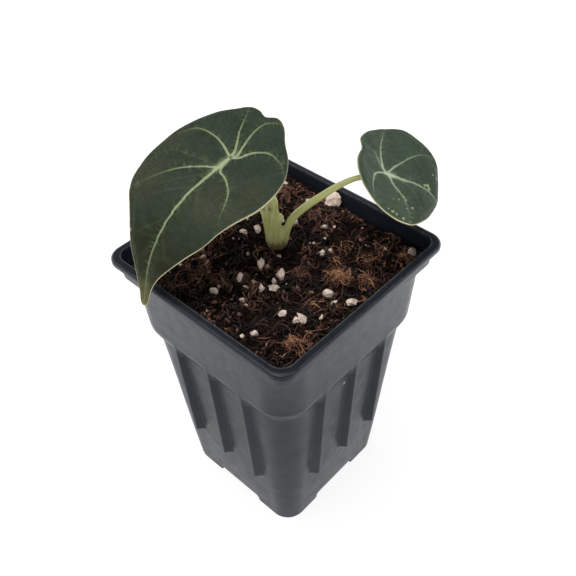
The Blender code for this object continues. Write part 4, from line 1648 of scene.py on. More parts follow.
class Blade:
    """The curved middle surface of a leaf, in distances along and across its midrib."""

    def __init__(self, junction: tuple, heading: float, roll: float, twist: float, arch: float,
                 slopes: tuple) -> None:
        """Tabulate the hang of the midrib.

        Args:
            junction: Point where the stalk joins.
            heading: Compass direction of the midrib, degrees from X.
            roll: Degrees that the blade leans to one side.
            twist: Further lean for each millimetre along the midrib.
            arch: Sideways curl, per millimetre.
            slopes: Pairs of distance along the midrib and degrees below level.
        """
        self.junction = np.array(junction)
        self.roll, self.twist, self.arch = math.radians(roll), math.radians(twist), arch
        turn = math.radians(heading)
        self.ahead = np.array([math.cos(turn), math.sin(turn), 0.0])
        self.side = np.array([-math.sin(turn), math.cos(turn), 0.0])
        stops = curve_through(np.array(slopes, float), 24)
        self.along = np.linspace(slopes[0][0] - 6.0, slopes[-1][0] + 6.0, 1600)
        self.slope = np.radians(np.interp(self.along, stops[:, 0], stops[:, 1]))
        pace = np.diff(self.along, prepend=self.along[0])[:, None]
        step = np.cos(self.slope)[:, None] * self.ahead - np.sin(self.slope)[:, None] * UP
        spots = np.cumsum(step * pace, 0)
        start = np.array([np.interp(0.0, self.along, spots[:, k]) for k in range(3)])
        self.spots = spots - start + self.junction

    def point(self, along: Array, across: Array) -> Array:
        """Return points of the middle surface.

        Args:
            along: Distances along the midrib.
            across: Distances across it.

        Returns:
            Rows of points.
        """
        spot = np.stack([np.interp(along, self.along, self.spots[:, k]) for k in range(3)], 1)
        slope = np.interp(along, self.along, self.slope)[:, None]
        up = self.ahead * np.sin(slope) + UP * np.cos(slope)
        lean = (self.roll + self.twist * along)[:, None]
        side = self.side * np.cos(lean) + up * np.sin(lean)
        normal = up * np.cos(lean) - self.side * np.sin(lean)
        return spot + side * across[:, None] + normal * (self.arch * across**2)[:, None]

    def normal(self, along: Array, across: Array, step: float = 0.3) -> Array:
        """Return unit normals of the middle surface.

        Args:
            along: Distances along the midrib.
            across: Distances across it.
            step: Distance to each side over which the slope is taken.

        Returns:
            Rows of unit normals.
        """
        u = self.point(along + step, across) - self.point(along - step, across)
        v = self.point(along, across + step) - self.point(along, across - step)
        return unit(np.cross(u, v))


@dataclass(frozen=True)
class Vein:
    """One vein: its line, its half-widths at both ends, and how it shows. A fine one has no width."""

    line: tuple
    start: float = 0.0
    end: float = 0.0
    pale: float = 0.0
    strength: float = 1.0
    fade: float = 0.6
    last: float = 0.3
    is_fine: bool = False
    is_bezier: bool = False

    def measure(self, places: Array) -> tuple[Array, Array, Array]:
        """Measure places against the vein.

        Args:
            places: Rows of distances along and across the midrib.

        Returns:
            The signed distance from the vein, the distance along it, and the share along it.
        """
        if self.is_bezier:
            curve = handle_curve(*np.array(self.line, float), np.linspace(0.0, 1.0, 60)[:, None])
        else:
            curve = curve_through(np.array(self.line, float), 10)
        span, walk = np.diff(curve, axis=0), walked(curve)
        length = lengths(span)
        best = np.full(len(places), 1e9)
        signed, run = np.zeros(len(places)), np.zeros(len(places))
        for k in range(len(span)):
            away = places - curve[k]
            share = np.clip(away @ span[k] / length[k] ** 2, 0.0, 1.0)
            gap = lengths(away - share[:, None] * span[k])
            turn = np.sign(span[k, 0] * away[:, 1] - span[k, 1] * away[:, 0])
            closer = gap < best
            best[closer] = gap[closer]
            signed[closer] = (gap * turn)[closer]
            run[closer] = (walk[k] + share * length[k])[closer]
        return signed, run, run / walk[-1]


@dataclass
class LeafBlade:
    """A hanging velvet blade: its surface, outline, veins and finish.

    The margin is a closed row of points. Some have a ray, whose two handles stand under the point's
    number, and the blade's mesh follows the rays from the stalk outward.
    """

    name: str
    node: str
    blade: Blade
    margin: tuple
    handles: dict
    veins: tuple
    finish: VelvetLeaf
    ray_spacing: float
    rings: int
    specks: tuple = ()
    # Where the painted shade of the steep lower blade begins and is full.
    low_shade_start: float = 16.0
    low_shade_end: float = 46.0
    tip_start: float = 30.0
    tip_end: float = 66.0
    heart: tuple = (7.6, 0.95)
    # Strength of the painted shade in the dent at the stalk's join.
    pit_shade: float = 1.0
    flush_at: tuple = ()
    pale_edge: tuple = ()
    thickness: float = 0.6
    puff: float = 0.62
    groove: float = 0.28
    rib: float = 0.6
    seed: int = 5

    def rays(self) -> tuple[Array, Array, Array]:
        """Return the near handles, far handles and ends of the lines from the stalk to the margin.

        Returns:
            One row for each line, in each of the three.
        """
        marked, spots = sorted(self.handles), np.array(self.margin)
        near, far, end = [], [], []
        for number, start in enumerate(marked):
            stop = marked[(number + 1) % len(marked)]
            span = (stop - start) % len(spots)
            stretch = spots[[(start + k) % len(spots) for k in range(-1, span + 2)]]
            first, last = np.array(self.handles[start]), np.array(self.handles[stop])
            pieces = max(2, round(walked(stretch[1:-1])[-1] / self.ray_spacing))
            for piece in range(pieces):
                share = piece / pieces
                k, u = divmod(share * span, 1.0)
                end.append(glide(stretch[int(k) : int(k) + 4], u))
                both = first * (1.0 - share) + last * share
                near.append(both[0])
                far.append(both[1])
        return np.array(near), np.array(far), np.array(end)

    def fields(self, places: Array) -> dict[str, Array]:
        """Measure every place against the veins.

        Args:
            places: Rows of distances along and across the midrib.

        Returns:
            Named numbers for each place, which the relief and the finish read.
        """
        count = len(places)
        out = {name: np.zeros(count) for name in ("side", "run", "key", "half", "share", "pale", "strength",
                                                  "fine", "fine_groove")}
        best = np.full(count, 1e9)
        for number, vein in enumerate(self.veins):
            signed, run, share = vein.measure(places)
            away = np.abs(signed)
            if vein.is_fine:
                show = hill(away, 0.3) * vein.strength * (1.0 - ease((share - 0.6) / 0.4))
                out["fine"] = np.maximum(out["fine"], show)
                out["fine_groove"] = np.maximum(out["fine_groove"], hill(away, 0.9) * (1.0 - 0.6 * share))
                continue
            half = blend(vein.start, vein.end, np.minimum(share * 1.15, 1.0) ** 0.7)
            ebb = ease((share - vein.fade) / (1.0 - vein.fade))
            closer = away - half < best
            best[closer] = (away - half)[closer]
            values = {"side": signed, "run": run, "key": np.full(count, number + 0.5), "half": half,
                      "share": share, "pale": vein.pale * (1.0 - share) ** 1.3,
                      "strength": vein.strength * blend(1.0, vein.last, ebb)}
            for name, value in values.items():
                out[name][closer] = value[closer]
        out["gap"] = best
        out["near"] = np.clip(1.0 - np.abs(out["side"]) / 1.6, 0.0, 1.0)
        out["feather"] = hill(np.maximum(best, 0.0), 1.55) * (1.0 - 0.5 * out["share"])
        return out

    def build(self) -> None:
        """Build and dress the blade."""
        near, far, end = self.rays()
        count = len(end)
        shares = (np.arange(1, self.rings + 1) / self.rings) ** 0.82
        u = shares[:, None, None]
        grid = handle_curve(near, far, end, u)
        places = np.vstack([[[0.0, 0.0]], grid.reshape(-1, 2)])
        share = np.concatenate([[0.0], np.repeat(shares, count)])
        field = self.fields(places)
        along, across = places.T
        middle = self.blade.point(along, across)
        normal = self.blade.normal(along, across)
        wave = Undulation(self.seed)
        rim_fade = 1.0 - ease((share - 0.9) / 0.1)
        gap = np.maximum(field["gap"], 0.0)
        lift = self.puff * (1.0 - hill(gap, 3.0)) * rim_fade
        lift = lift + 0.46 * wave.at(middle, 7.0) * ease(gap / 4.0) - 0.42 * field["fine_groove"] * rim_fade
        dip = self.groove * hill(gap, 0.55) * (0.4 + 0.6 * rim_fade) * (1.0 - 0.4 * field["share"])
        body = self.thickness * (0.5 + 0.5 * rim_fade)
        ripple = 0.05 * wave.at(middle + 40.0, 1.6) + 0.35 * wave.at(middle, 12.0) * ease((share - 0.7) / 0.3)
        centre = mound(along, across, -0.7, -0.1, 0.55)
        upper = middle + normal * (body / 2.0 + lift - dip + ripple - 0.35 * centre)[:, None]
        junction = mound(along, across, 0.0, 0.0, 2.4)
        swell = np.maximum(self.rib * hill(gap, 0.6) * (1.0 - 0.75 * field["share"]), 1.1 * junction)
        lower = middle + normal * (-body / 2.0 + lift + ripple - swell * rim_fade)[:, None]

        fan = [[0, 1 + k, 1 + (k + 1) % count] for k in range(count)]
        sheet = fan + [[a, d, c, b] for a, b, c, d in loft_faces(self.rings, count, 1).tolist()]
        total = len(upper)
        under = [[total + k for k in reversed(face)] for face in sheet]
        outer = 1 + (self.rings - 1) * count
        border = [[outer + k, outer + k + total, outer + (k + 1) % count + total, outer + (k + 1) % count]
                  for k in range(count)]
        top = self.finish.make()
        bottom = bpy.data.materials.get("leaf_underside") or LeafUnderside().make()
        leaf = make_object(self.name, np.vstack([upper, lower]), sheet + under + border, [top, bottom], None)
        index = np.concatenate([np.zeros(len(sheet), int), np.ones(len(under) + len(border), int)])
        leaf.data.polygons.foreach_set("material_index", index.astype(np.int32))
        if leaf.data.polygons[0].normal.dot(normal[0]) < 0.0:
            leaf.data.flip_normals()

        to_edge = (1.0 - share) * np.concatenate([[30.0], np.tile(lengths(end), self.rings)])
        rim = np.clip(1.0 - to_edge / 0.3, 0.0, 1.0) * 0.45
        for *spot, width in self.pale_edge:
            zone = mound(along, across, *spot)
            rim = np.maximum(rim, zone * np.clip(2.0 - 2.0 * to_edge / width, 0.0, 1.0))
        field["rim"] = np.where(share > 0.5, rim, 0.0)
        field["tipward"] = ease((along - self.tip_start) / (self.tip_end - self.tip_start))
        # Painted shade: 0 near the stalk, 1 on the steep lower part of the blade.
        field["low"] = ease((along - self.low_shade_start) / (self.low_shade_end - self.low_shade_start))
        flush = np.zeros(len(places))
        for *spot, amount in self.flush_at:
            flush = np.maximum(flush, amount * mound(along, across, *spot))
        field["flush"] = flush
        far, wide = self.heart
        field["heart"] = 0.85 * hill(np.hypot((along - 0.52 * far) / (0.55 * far), across / wide), 1.0)
        # Painted shade over the dent at the stalk's join, where the upper face dips.
        field["pit_shade"] = 0.9 * hill(np.hypot((along + 0.5) / 1.2, across), 0.52) * self.pit_shade
        specks = np.zeros(len(places))
        for a, b, radius in self.specks:
            specks = np.maximum(specks, ease(1.6 - np.hypot(along - a, across - b) / radius))
        field["specks"] = specks * 0.85
        for name in sorted(field.keys() - {"gap", "share", "fine_groove"}):
            paint(leaf, name, np.tile(field[name], 2))
        settle(leaf, Slot.LEAF, self.node)


@dataclass
class LeafStalks:
    """Two stalks that part from one sheathed foot and reach up under the blades.

    A row of a stalk is one section: its centre, and its half-widths to the left, right and in depth.
    """

    large_blade: Blade
    small_blade: Blade
    turn: float = 43.9
    large: tuple = (
        (-5.3, 5.0, 117.4, 1.1, 1.0, 1.1), (-5.5, 4.8, 119.2, 1.6, 1.4, 1.5),
        (-5.9, 4.3, 121.2, 2.3, 2.0, 1.95), (-5.9, 4.0, 123.4, 2.5, 2.1, 2.0),
        (-5.5, 4.1, 128.0, 3.1, 2.8, 2.1), (-5.3, 4.1, 131.8, 3.6, 3.4, 2.1),
        (-5.1, 4.0, 134.6, 4.0, 4.0, 2.0), (-4.9, 3.9, 135.7, 4.2, 2.6, 2.0),
        (-4.6, 3.7, 138.2, 4.6, 2.1, 1.9), (-4.4, 3.5, 139.4, 2.3, 2.0, 1.9),
        (-3.9, 2.8, 143.5, 1.85, 1.85, 1.8), (-6.0, 0.2, 150.0, 1.75, 1.75, 1.75),
        (-9.0, -3.4, 156.2, 1.7, 1.7, 1.7),
    )
    small: tuple = (
        (-4.4, 6.0, 117.4, 0.9, 0.9, 1.0), (-3.9, 6.3, 119.2, 1.25, 1.25, 1.3),
        (-3.0, 7.0, 121.5, 1.6, 1.6, 1.6), (-2.3, 7.2, 125.5, 1.55, 1.6, 1.55),
        (-1.1, 8.0, 130.3, 1.5, 1.5, 1.5), (0.3, 9.4, 134.2, 1.4, 1.45, 1.45),
        (2.9, 11.7, 138.0, 1.4, 1.4, 1.4), (7.3, 15.7, 143.0, 1.3, 1.3, 1.3),
        (12.0, 20.9, 147.6, 1.15, 1.15, 1.15), (16.6, 26.0, 150.2, 1.0, 1.0, 1.0),
    )
    sheath: tuple = (
        (-4.8, 5.5, 117.4, 1.4, 1.4, 1.1), (-4.7, 5.5, 119.2, 1.9, 1.9, 1.5),
        (-4.6, 5.5, 121.2, 2.5, 2.5, 1.75), (-4.2, 5.5, 123.5, 2.4, 2.4, 1.6),
        (-3.8, 5.7, 126.0, 2.1, 2.1, 1.4), (-3.4, 6.0, 128.2, 1.6, 1.6, 1.1),
        (-3.1, 6.3, 129.8, 0.9, 0.9, 0.7),
    )
    # Slits carved into the sheath, whose inside is painted dark as shade.
    shaded_slits: tuple = (((-4.2, 1.9, 139.9), (0.8, 0.8, 1.2)), ((-7.4, 1.5, 136.0), (0.6, 0.6, 0.9)))
    pale_marks: tuple = (((-7.8, 1.2, 137.0), 2.2, 0.55), ((-2.2, 6.8, 134.2), 1.6, 0.5))
    voxel: float = 0.22

    def neck(self, blade: Blade, radius: float, flare: float) -> tuple:
        """Return the last two sections of a stalk, where it spreads into its blade.

        Args:
            blade: The blade on the stalk.
            radius: Radius of the stalk.
            flare: Radius where it spreads.

        Returns:
            The two sections.
        """
        normal = blade.normal(np.zeros(1), np.zeros(1))[0]
        return ((*(blade.junction - normal * 2.4), radius, radius, radius),
                (*(blade.junction - normal * 0.95), flare, flare, flare))

    def loft(self, rings: tuple) -> tuple[tuple, Array]:
        """Skin one stalk.

        Args:
            rings: Its sections from the foot up.

        Returns:
            Its points and faces, and its centre line.
        """
        fine = curve_through(np.array(rings, float), 10)
        turn = math.radians(self.turn)
        sideways = np.array([math.cos(turn), math.sin(turn), 0.0])
        angle = np.linspace(0.0, math.tau, 28, endpoint=False)
        loops = []
        for row, way in zip(fine, unit(np.gradient(fine[:, :3], axis=0))):
            wide = sideways - way * (sideways @ way)
            wide /= np.linalg.norm(wide)
            deep = np.cross(way, wide)
            reach = np.where(np.cos(angle) > 0.0, row[4], row[3])
            loop = row[:3] + np.outer(reach * np.cos(angle), wide) + np.outer(row[5] * np.sin(angle), deep)
            loops.append(loop)
        return skin(loops), fine[:, :3]

    def build(self) -> None:
        """Build both stalks as one grown-together piece."""
        large, large_line = self.loft(self.large + self.neck(self.large_blade, 1.55, 2.3))
        small, small_line = self.loft(self.small + self.neck(self.small_blade, 0.95, 1.5))
        points, faces = join([large, small, self.loft(self.sheath)[0]])
        stalks = make_object("leaf_stalks", points, faces, [StalkSkin().make()], None, tidy=True)
        remesh = stalks.modifiers.new("merge", "REMESH")
        remesh.mode = "VOXEL"
        remesh.voxel_size = self.voxel * MM
        soften = stalks.modifiers.new("soften", "SMOOTH")
        soften.factor = 0.5
        soften.iterations = 6
        apply_modifiers(stalks)
        mesh = stalks.data
        points, normals = np.empty((2, len(mesh.vertices) * 3))
        mesh.vertices.foreach_get("co", points)
        mesh.vertices.foreach_get("normal", normals)
        points, normals = points.reshape(-1, 3) / MM, normals.reshape(-1, 3)
        around, length, inner = self.wrap(points, large_line, small_line)
        wave = Undulation(12)
        stripe = wave.at(np.stack([around * 2.6, length * 0.12, inner], 1), 1.0)
        # The slits are carved in and painted dark as shade.
        shaded_slit = np.max([hill(lengths((points - centre) / size), 1.0) for centre, size in self.shaded_slits], axis=0)
        points += normals * (0.05 * stripe + 0.05 * wave.at(points, 2.5) - 0.45 * shaded_slit)[:, None]
        mesh.vertices.foreach_set("co", (points * MM).ravel())
        mesh.update()
        mesh.shade_smooth()
        sheath = np.max([amount * hill(lengths(points - centre), radius)
                         for centre, radius, amount in self.pale_marks], axis=0)
        for name, values in (("around", around), ("length", length), ("shaded_slit", shaded_slit), ("sheath", sheath)):
            paint(stalks, name, values)
        settle(stalks, Slot.STALK, "large_stalk", "small_stalk")

    def wrap(self, points: Array, large: Array, small: Array) -> tuple:
        """Lay coordinates round the stalks.

        Args:
            points: Points of the skin.
            large: Centre line of the large stalk.
            small: Centre line of the small stalk.

        Returns:
            For each point the distance round its stalk, the distance up it, and which stalk it is.
        """
        around, length, which = np.zeros(len(points)), np.zeros(len(points)), np.zeros(len(points))
        best = np.full(len(points), 1e9)
        for number, line in enumerate((large, small)):
            walk = walked(line)
            away = lengths(points[:, None] - line[None])
            nearest = away.argmin(1)
            gap = away.min(1)
            ahead = unit(np.gradient(line, axis=0))
            wide = unit(np.cross(ahead, (0.3, -0.9, 0.2)))
            deep = np.cross(ahead, wide)
            offset = points - line[nearest]
            angle = np.arctan2((offset * deep[nearest]).sum(1), (offset * wide[nearest]).sum(1))
            closer = gap < best
            best[closer] = gap[closer]
            around[closer] = (angle * 1.8)[closer]
            length[closer] = walk[nearest][closer]
            which[closer] = 5.0 * number
        return around, length, which


def large_leaf() -> LeafBlade:
    """Return the large blade that hangs over the pot's left edge.

    Returns:
        The blade, ready to build.
    """
    hang = Blade(
        junction=(-12.3, -7.7, 163.0), heading=-94.0, roll=-14.0, twist=0.0, arch=-0.004,
        slopes=((-20, 46), (-10, 28), (0, 13), (10, 12), (20, 23), (30, 40), (40, 57), (50, 70), (60, 76),
                (66, 77)),
    )
    margin = (
        (-18.8, 0.2), (-20.3, 4.4), (-18.8, 8.0), (-14.7, 11.5), (-11.0, 15.8), (-5.5, 19.4), (1.5, 20.8),
        (9.0, 20.6), (16.5, 19.0), (24.0, 17.4), (31.0, 15.8), (38.0, 12.4), (45.0, 8.2), (51.5, 4.3),
        (57.5, 2.3), (61.8, 1.6), (63.4, 0.1), (62.0, -1.3), (58.0, -2.1), (51.4, -4.3), (44.3, -8.0),
        (37.9, -11.4), (33.0, -15.0), (29.0, -18.2), (24.0, -20.3), (18.5, -21.3), (12.5, -22.0),
        (6.0, -22.5), (-1.5, -22.0), (-9.0, -18.0), (-15.0, -12.4), (-19.0, -7.0), (-19.7, -3.0),
    )
    handles = {
        1: ((-6.0, 0.5), (-15.0, -1.5)), 5: ((-5.0, 2.5), (-12.5, 9.0)), 9: ((5.0, 1.0), (6.0, 11.0)),
        16: ((15.0, 0.5), (40.0, 0.5)), 23: ((7.0, -0.5), (15.0, -10.5)), 25: ((5.0, -2.0), (8.0, -17.0)),
        27: ((-3.0, -5.0), (-4.0, -19.0)), 31: ((-5.0, -2.0), (-12.0, -6.0)),
    }
    veins = (
        Vein(((15.0, 0.5), (40.0, 0.5), (63.6, 0.0)), 0.55, 0.15, pale=1.0, fade=0.4, last=0.42,
             is_bezier=True),
        Vein(((0, 0), (-0.6, -1), (-2.1, -5), (-2.9, -8.5), (-3, -12.2), (-2.5, -15.2), (-1.4, -17.9),
              (1.4, -19.8), (5.4, -21.1)), 0.46, 0.14, pale=0.8),
        Vein(((0, 0), (-2.9, -0.6), (-6.3, -2.6), (-9.6, -4.6), (-13.3, -5.7), (-15.7, -6.2),
              (-18.6, -6.9)), 0.5, 0.14, pale=0.8),
        Vein(((0, 0), (-2.5, 1.1), (-6.4, 0.2), (-10.6, -0.3), (-14.2, 0.2), (-16.8, 1.6), (-18.4, 4.1),
              (-19.2, 6.5)), 0.48, 0.14, pale=0.8, last=0.5),
        Vein(((0, 0), (-2, 2.2), (-4.5, 3.3), (-6.8, 4.9), (-8.8, 7.5), (-9.6, 9.9), (-9.3, 12.5),
              (-8.8, 14.9), (-7.5, 17), (-5.6, 19.0)), 0.42, 0.14, pale=0.75, fade=0.45, last=0.12),
        Vein(((1.5, 0.2), (5.7, 1.6), (6.7, 4.9), (8.3, 7.9), (10, 10), (12.3, 11.4), (15.3, 12.9),
              (18.4, 14.1), (23.4, 16.8)), 0.46, 0.12, pale=0.75, fade=0.42, last=0.0),
        Vein(((2.0, -0.1), (5.4, -0.3), (8.3, -3.4), (11.5, -6.6), (14.3, -9.1), (17.3, -11.3),
              (20.5, -13.3), (23.4, -15.1), (26, -16.8), (28.6, -18.1)), 0.42, 0.12, pale=0.75, fade=0.35,
             last=0.12),
        Vein(((2.0, -0.2), (4.8, -0.3), (6.5, -5.3), (7.9, -9.4), (9.2, -13.6), (10.3, -16), (12, -17.5),
              (15.2, -18.8), (18, -19.5)), 0.3, 0.12, pale=0.2, strength=0.22),
        Vein(((12.5, 0.3), (16.9, -0.8), (20.3, -4), (23.8, -7.2), (28.0, -11.5)), is_fine=True,
             strength=0.8),
        Vein(((8.0, -0.3), (12, -1.9), (16.6, -5.2), (20.6, -8.5), (25.0, -12.5)), is_fine=True,
             strength=0.7),
        Vein(((14.0, 0.5), (20.7, 5.6), (24.3, 9.1), (28.0, 13.0)), is_fine=True, strength=0.6),
        Vein(((22.0, 0.5), (26.7, 2.5), (28.4, 6.1), (32.5, 11.0)), is_fine=True, strength=0.6),
        Vein(((10.0, 0.4), (16.8, 3.1), (21.1, 6.5), (24.8, 9.2)), is_fine=True, strength=0.7),
        Vein(((28.0, 0.4), (33.0, -2.8), (38.0, -7.0), (41.0, -8.8)), is_fine=True, strength=0.5),
        Vein(((33.0, 0.4), (38.0, 3.2), (42.0, 6.6), (44.0, 8.0)), is_fine=True, strength=0.5),
        Vein(((38.0, 0.3), (43.0, -2.6), (47.5, -5.2)), is_fine=True, strength=0.4),
    )
    finish = VelvetLeaf(
        name="large_leaf_velvet", deep=(0.0175, 0.026, 0.0165), lighter=(0.0235, 0.034, 0.0225),
        low=(0.0082, 0.0112, 0.0024), tip=(0.078, 0.07, 0.022), vein=(0.34, 0.4, 0.235),
        side_vein=(0.115, 0.152, 0.068),
    )
    return LeafBlade(
        name="velvet_blade_large", node="large_leaf", blade=hang, margin=margin, handles=handles,
        veins=veins, finish=finish, ray_spacing=0.56, rings=96,
        specks=((11.5, -6.8, 0.35), (39.2, -10.2, 0.5)),
        flush_at=((22.0, -16.0, 9.0, 0.5), (8.0, -20.0, 7.0, 0.4), (17.2, 8.8, 8.0, 0.6),
                  (5.0, 16.0, 5.0, 0.6), (14.0, 16.0, 5.0, 0.6)),
        pale_edge=((6.0, 20.0, 12.0, 0.26), (20.0, 18.0, 16.0, 0.26), (38.0, 12.0, 16.0, 0.26),
                   (52.0, 4.0, 14.0, 0.26), (30.0, -17.0, 26.0, 0.2)),
        tip_start=48.0, tip_end=64.0,
    )


def small_leaf() -> LeafBlade:
    """Return the small blade at the back right.

    Returns:
        The blade, ready to build.
    """
    hang = Blade(
        junction=(23.2, 31.9, 152.0), heading=31.0, roll=4.0, twist=0.4, arch=0.003,
        slopes=((-16, 52), (-8, 38), (0, 25), (6, 18), (12, 21), (18, 38), (24, 66)),
    )
    margin = (
        (-11.1, 5.2), (-12.5, 8.8), (-11.9, 12.4), (-9.6, 16.8), (-4.6, 21.4), (2.2, 24.0), (9.6, 20.9),
        (15.6, 15.2), (18.8, 8.6), (20.8, 2.6), (21.8, -1.8), (20.5, -7.8), (17.6, -14.0), (13.2, -19.0),
        (8.4, -20.4), (2.6, -19.4), (-1.4, -17.5), (-6.4, -13.7), (-10.2, -8.2), (-11.8, -2.6),
        (-11.5, 1.6),
    )
    handles = {
        1: ((-3.0, 3.0), (-6.5, 6.5)), 4: ((-2.0, 5.0), (-5.0, 13.0)), 7: ((3.0, 6.0), (9.0, 14.0)),
        10: ((7.0, 0.6), (15.0, 0.0)), 13: ((3.5, -4.0), (8.0, -9.0)), 16: ((-4.5, -2.0), (-4.2, -9.0)),
    }
    veins = (
        Vein(((7.0, 0.6), (15.0, 1.2), (21.8, -1.5)), 0.72, 0.2, pale=1.0, fade=0.8, last=0.7,
             is_bezier=True),
        Vein(((0, 0), (-1.4, 2.2), (-2.6, 5.5), (-3.9, 10.1), (-4.4, 14.4), (-4.4, 18.6), (-4.5, 21.0)),
             0.46, 0.13, pale=0.9, last=0.2),
        Vein(((0, 0), (-2.0, 2.2), (-3.8, 4.5), (-5.3, 7.1), (-8.6, 8.3), (-12.2, 8.7)), 0.34, 0.12,
             pale=0.5, fade=0.2, last=0.08),
        Vein(((0, 0), (1.1, 1.4), (2.7, 4.8), (4.8, 8), (7, 11.1), (9.4, 13.5), (11.5, 14.9), (13.2, 15.1),
              (14.8, 14.4)), 0.38, 0.13, pale=0.8, last=0.5),
        Vein(((0, 0), (-1.2, -0.6), (-3.3, -2.5), (-3.9, -4.9), (-3.6, -9.4), (-2.7, -13.3), (-1.5, -17.0)),
             0.4, 0.13, pale=0.75, fade=0.3, last=0.05),
        Vein(((0, 0), (1.8, -1.1), (3.4, -3.6), (5.3, -5.6), (7, -7.2), (8.5, -8.9), (9.3, -10.5),
              (11.5, -15.0), (12.8, -18.4)), 0.42, 0.13, pale=0.8, fade=0.3, last=0.0),
        Vein(((6.0, 0.4), (9.5, -2.5), (13.0, -6.5), (15.5, -10.0)), is_fine=True, strength=0.7),
        Vein(((8.0, 0.4), (11.5, 3.6), (14.0, 7.5)), is_fine=True, strength=0.6),
    )
    finish = VelvetLeaf(
        name="small_leaf_velvet", deep=(0.027, 0.042, 0.027), lighter=(0.036, 0.055, 0.036),
        low=(0.019, 0.028, 0.018), tip=(0.026, 0.037, 0.023), vein=(0.34, 0.39, 0.28),
        side_vein=(0.15, 0.2, 0.125), heart=(0.4, 0.45, 0.32), flush=(0.06, 0.07, 0.04),
    )
    return LeafBlade(
        name="velvet_blade_small", node="small_leaf", blade=hang, margin=margin, handles=handles,
        veins=veins, finish=finish, ray_spacing=0.56, rings=64,
        specks=(
            (8.0, -8.0, 0.35), (6.5, -10.5, 0.3), (4.2, -12.0, 0.28), (9.0, -9.2, 0.35),
            (10.0, -12.8, 0.28), (11.8, -11.8, 0.45), (5.0, -18.0, 0.55), (3.3, -17.6, 0.35),
            (6.5, -18.5, 0.4), (9.0, -18.8, 0.5), (11.8, -18.2, 0.3), (15.5, 2.0, 0.6),
            (14.6, 1.4, 0.5), (16.4, 0.9, 0.55), (16.2, 7.5, 0.35), (17.0, 11.0, 0.35), (18.0, 7.0, 0.45),
        ),
        flush_at=((6.0, -15.0, 6.0, 0.6),),
        pale_edge=((0.0, -18.5, 9.0, 0.12), (8.0, -20.0, 8.0, 0.17), (16.0, -16.0, 8.0, 0.1)),
        low_shade_start=6.0, low_shade_end=26.0, tip_start=16.0, tip_end=30.0, heart=(3.6, 1.1), pit_shade=0.0, seed=9,
    )


# Studio


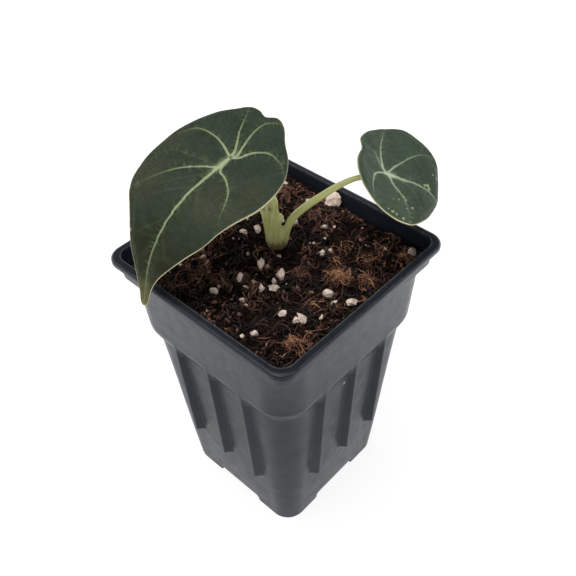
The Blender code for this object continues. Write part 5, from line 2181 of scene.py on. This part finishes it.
@dataclass
class Studio:
    """Pale sweep, brighter to both sides, soft overhead light, dim room and the photograph's camera."""

    lens: float = 46.75
    yaw: float = 43.93
    pitch: float = 44.57
    roll: float = -1.91
    position: tuple = (0.14478, -0.14487, 0.30618)
    light: float = 2.9
    light_width: float = 50.0
    light_tilt: tuple = (8.0, -6.0)
    room: float = 0.15
    floor_radius: float = 900.0
    wall_radius: float = 600.0
    glow_near: float = 0.86
    glow_left: float = 1.02
    glow_right: float = 1.44
    glow_far: float = 0.9
    side_band: tuple = (84.0, 222.0)
    far_band: tuple = (200.0, 600.0)

    def sweep(self) -> None:
        """Build the floor, which turns up into a low wall all round."""
        sides, steps = 96, 12
        profile = [(150.0, 0.0), (500.0, 0.0), (self.floor_radius, 0.0)]
        for step in range(1, steps + 1):
            angle = math.pi / 2.0 * step / steps
            profile.append((self.floor_radius + self.wall_radius * math.sin(angle),
                            self.wall_radius * (1.0 - math.cos(angle))))
        points = [(0.0, 0.0, 0.0)]
        for radius, z in profile:
            for k in range(sides):
                angle = math.tau * k / sides
                points.append((radius * math.cos(angle), radius * math.sin(angle), z))
        faces = [[0, 1 + k, 1 + (k + 1) % sides] for k in range(sides)]
        faces += [[a, d, c, b] for a, b, c, d in loft_faces(len(profile), sides, 1).tolist()]
        floor = make_object("studio_floor", np.array(points), faces, [self.ground()], None, tidy=True)

    def ground(self) -> Material:
        """Make the floor's material, which glows more to both sides of the view and far away.

        Returns:
            The material.
        """
        draft = ShaderDraft("studio_floor")
        tone = draft.fit(draft.noise(60.0, 3.0), 0.3, 0.7, 0.985, 1.0)
        colour = draft.mix(tone, (0.15, 0.15, 0.15), (0.17, 0.17, 0.17))
        turn = math.radians(self.yaw)
        x, y, _ = draft.coordinates()
        across = draft.calc("ADD", draft.times(x, math.cos(turn)), draft.times(y, math.sin(turn)))
        aside = draft.fit(draft.calc("ABSOLUTE", across), *self.side_band)
        reach = draft.fit(across, -200.0, 200.0, self.glow_left, self.glow_right)
        away = draft.calc("SQRT", draft.calc("ADD", draft.calc("POWER", x, 2.0), draft.calc("POWER", y, 2.0)))
        far = draft.fit(away, *self.far_band, 0.0, self.glow_far)
        glow = draft.calc("ADD", self.glow_near, draft.calc("MAXIMUM", draft.times(aside, reach), far))
        return draft.close(colour, 0.9, Specular_IOR_Level=0.0, Emission_Color=(1.0, 1.0, 1.0, 1.0),
                           Emission_Strength=glow)

    def lamp(self) -> None:
        """Hang one wide soft light nearly overhead."""
        data = bpy.data.lights.new("overhead", "SUN")
        data.energy = self.light
        data.angle = math.radians(self.light_width)
        data.color = (1.0, 0.985, 0.96)
        lamp = bpy.data.objects.new("overhead", data)
        lamp.rotation_euler = (*(math.radians(angle) for angle in self.light_tilt), 0.0)
        bpy.context.scene.collection.objects.link(lamp)
        world = bpy.data.worlds.new("room")
        world.use_nodes = True
        back = world.node_tree.nodes["Background"]
        back.inputs["Color"].default_value = (0.9, 0.95, 1.0, 1.0)
        back.inputs["Strength"].default_value = self.room
        bpy.context.scene.world = world

    def camera(self) -> None:
        """Set the camera as the photograph was taken."""
        yaw, pitch, roll = (math.radians(angle) for angle in (self.yaw, self.pitch, self.roll))
        back = np.array([math.cos(pitch) * math.sin(yaw), -math.cos(pitch) * math.cos(yaw), math.sin(pitch)])
        right = np.array([math.cos(yaw), math.sin(yaw), 0.0])
        up = np.cross(back, right)
        across = right * math.cos(roll) + up * math.sin(roll)
        above = up * math.cos(roll) - right * math.sin(roll)
        data = bpy.data.cameras.new("camera")
        data.lens = self.lens
        data.sensor_width = 36.0
        data.clip_start = 0.01
        camera = bpy.data.objects.new("camera", data)
        rows = np.column_stack([across, above, back, self.position])
        camera.matrix_world = Matrix([*rows.tolist(), [0.0, 0.0, 0.0, 1.0]])
        bpy.context.scene.collection.objects.link(camera)
        bpy.context.scene.camera = camera

    def build(self) -> None:
        """Set up the floor, the light, the camera and the colour response."""
        self.camera()
        self.sweep()
        self.lamp()
        scene = bpy.context.scene
        scene.view_settings.view_transform = "Standard"
        scene.view_settings.look = "None"


def dress_rhizome() -> None:
    """Give the rootstock's own solid its ringed skin."""
    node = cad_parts["rhizome"]
    node.data.materials.clear()
    node.data.materials.append(RhizomeSkin().make())
    LOG.info("rhizome: dressed")


def main() -> None:
    """Build every sub-assembly in order."""
    logging.basicConfig(level=logging.INFO, format="%(name)s: %(message)s")
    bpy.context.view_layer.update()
    Studio().build()
    pot = NurseryPot(PotPlastic())
    pot.build()
    PottingMix(pot).build()
    dress_rhizome()
    large, small = large_leaf(), small_leaf()
    LeafStalks(large.blade, small.blade).build()
    large.build()
    small.build()
    LOG.info("sizes written")


if __name__ == "__main__":
    main()
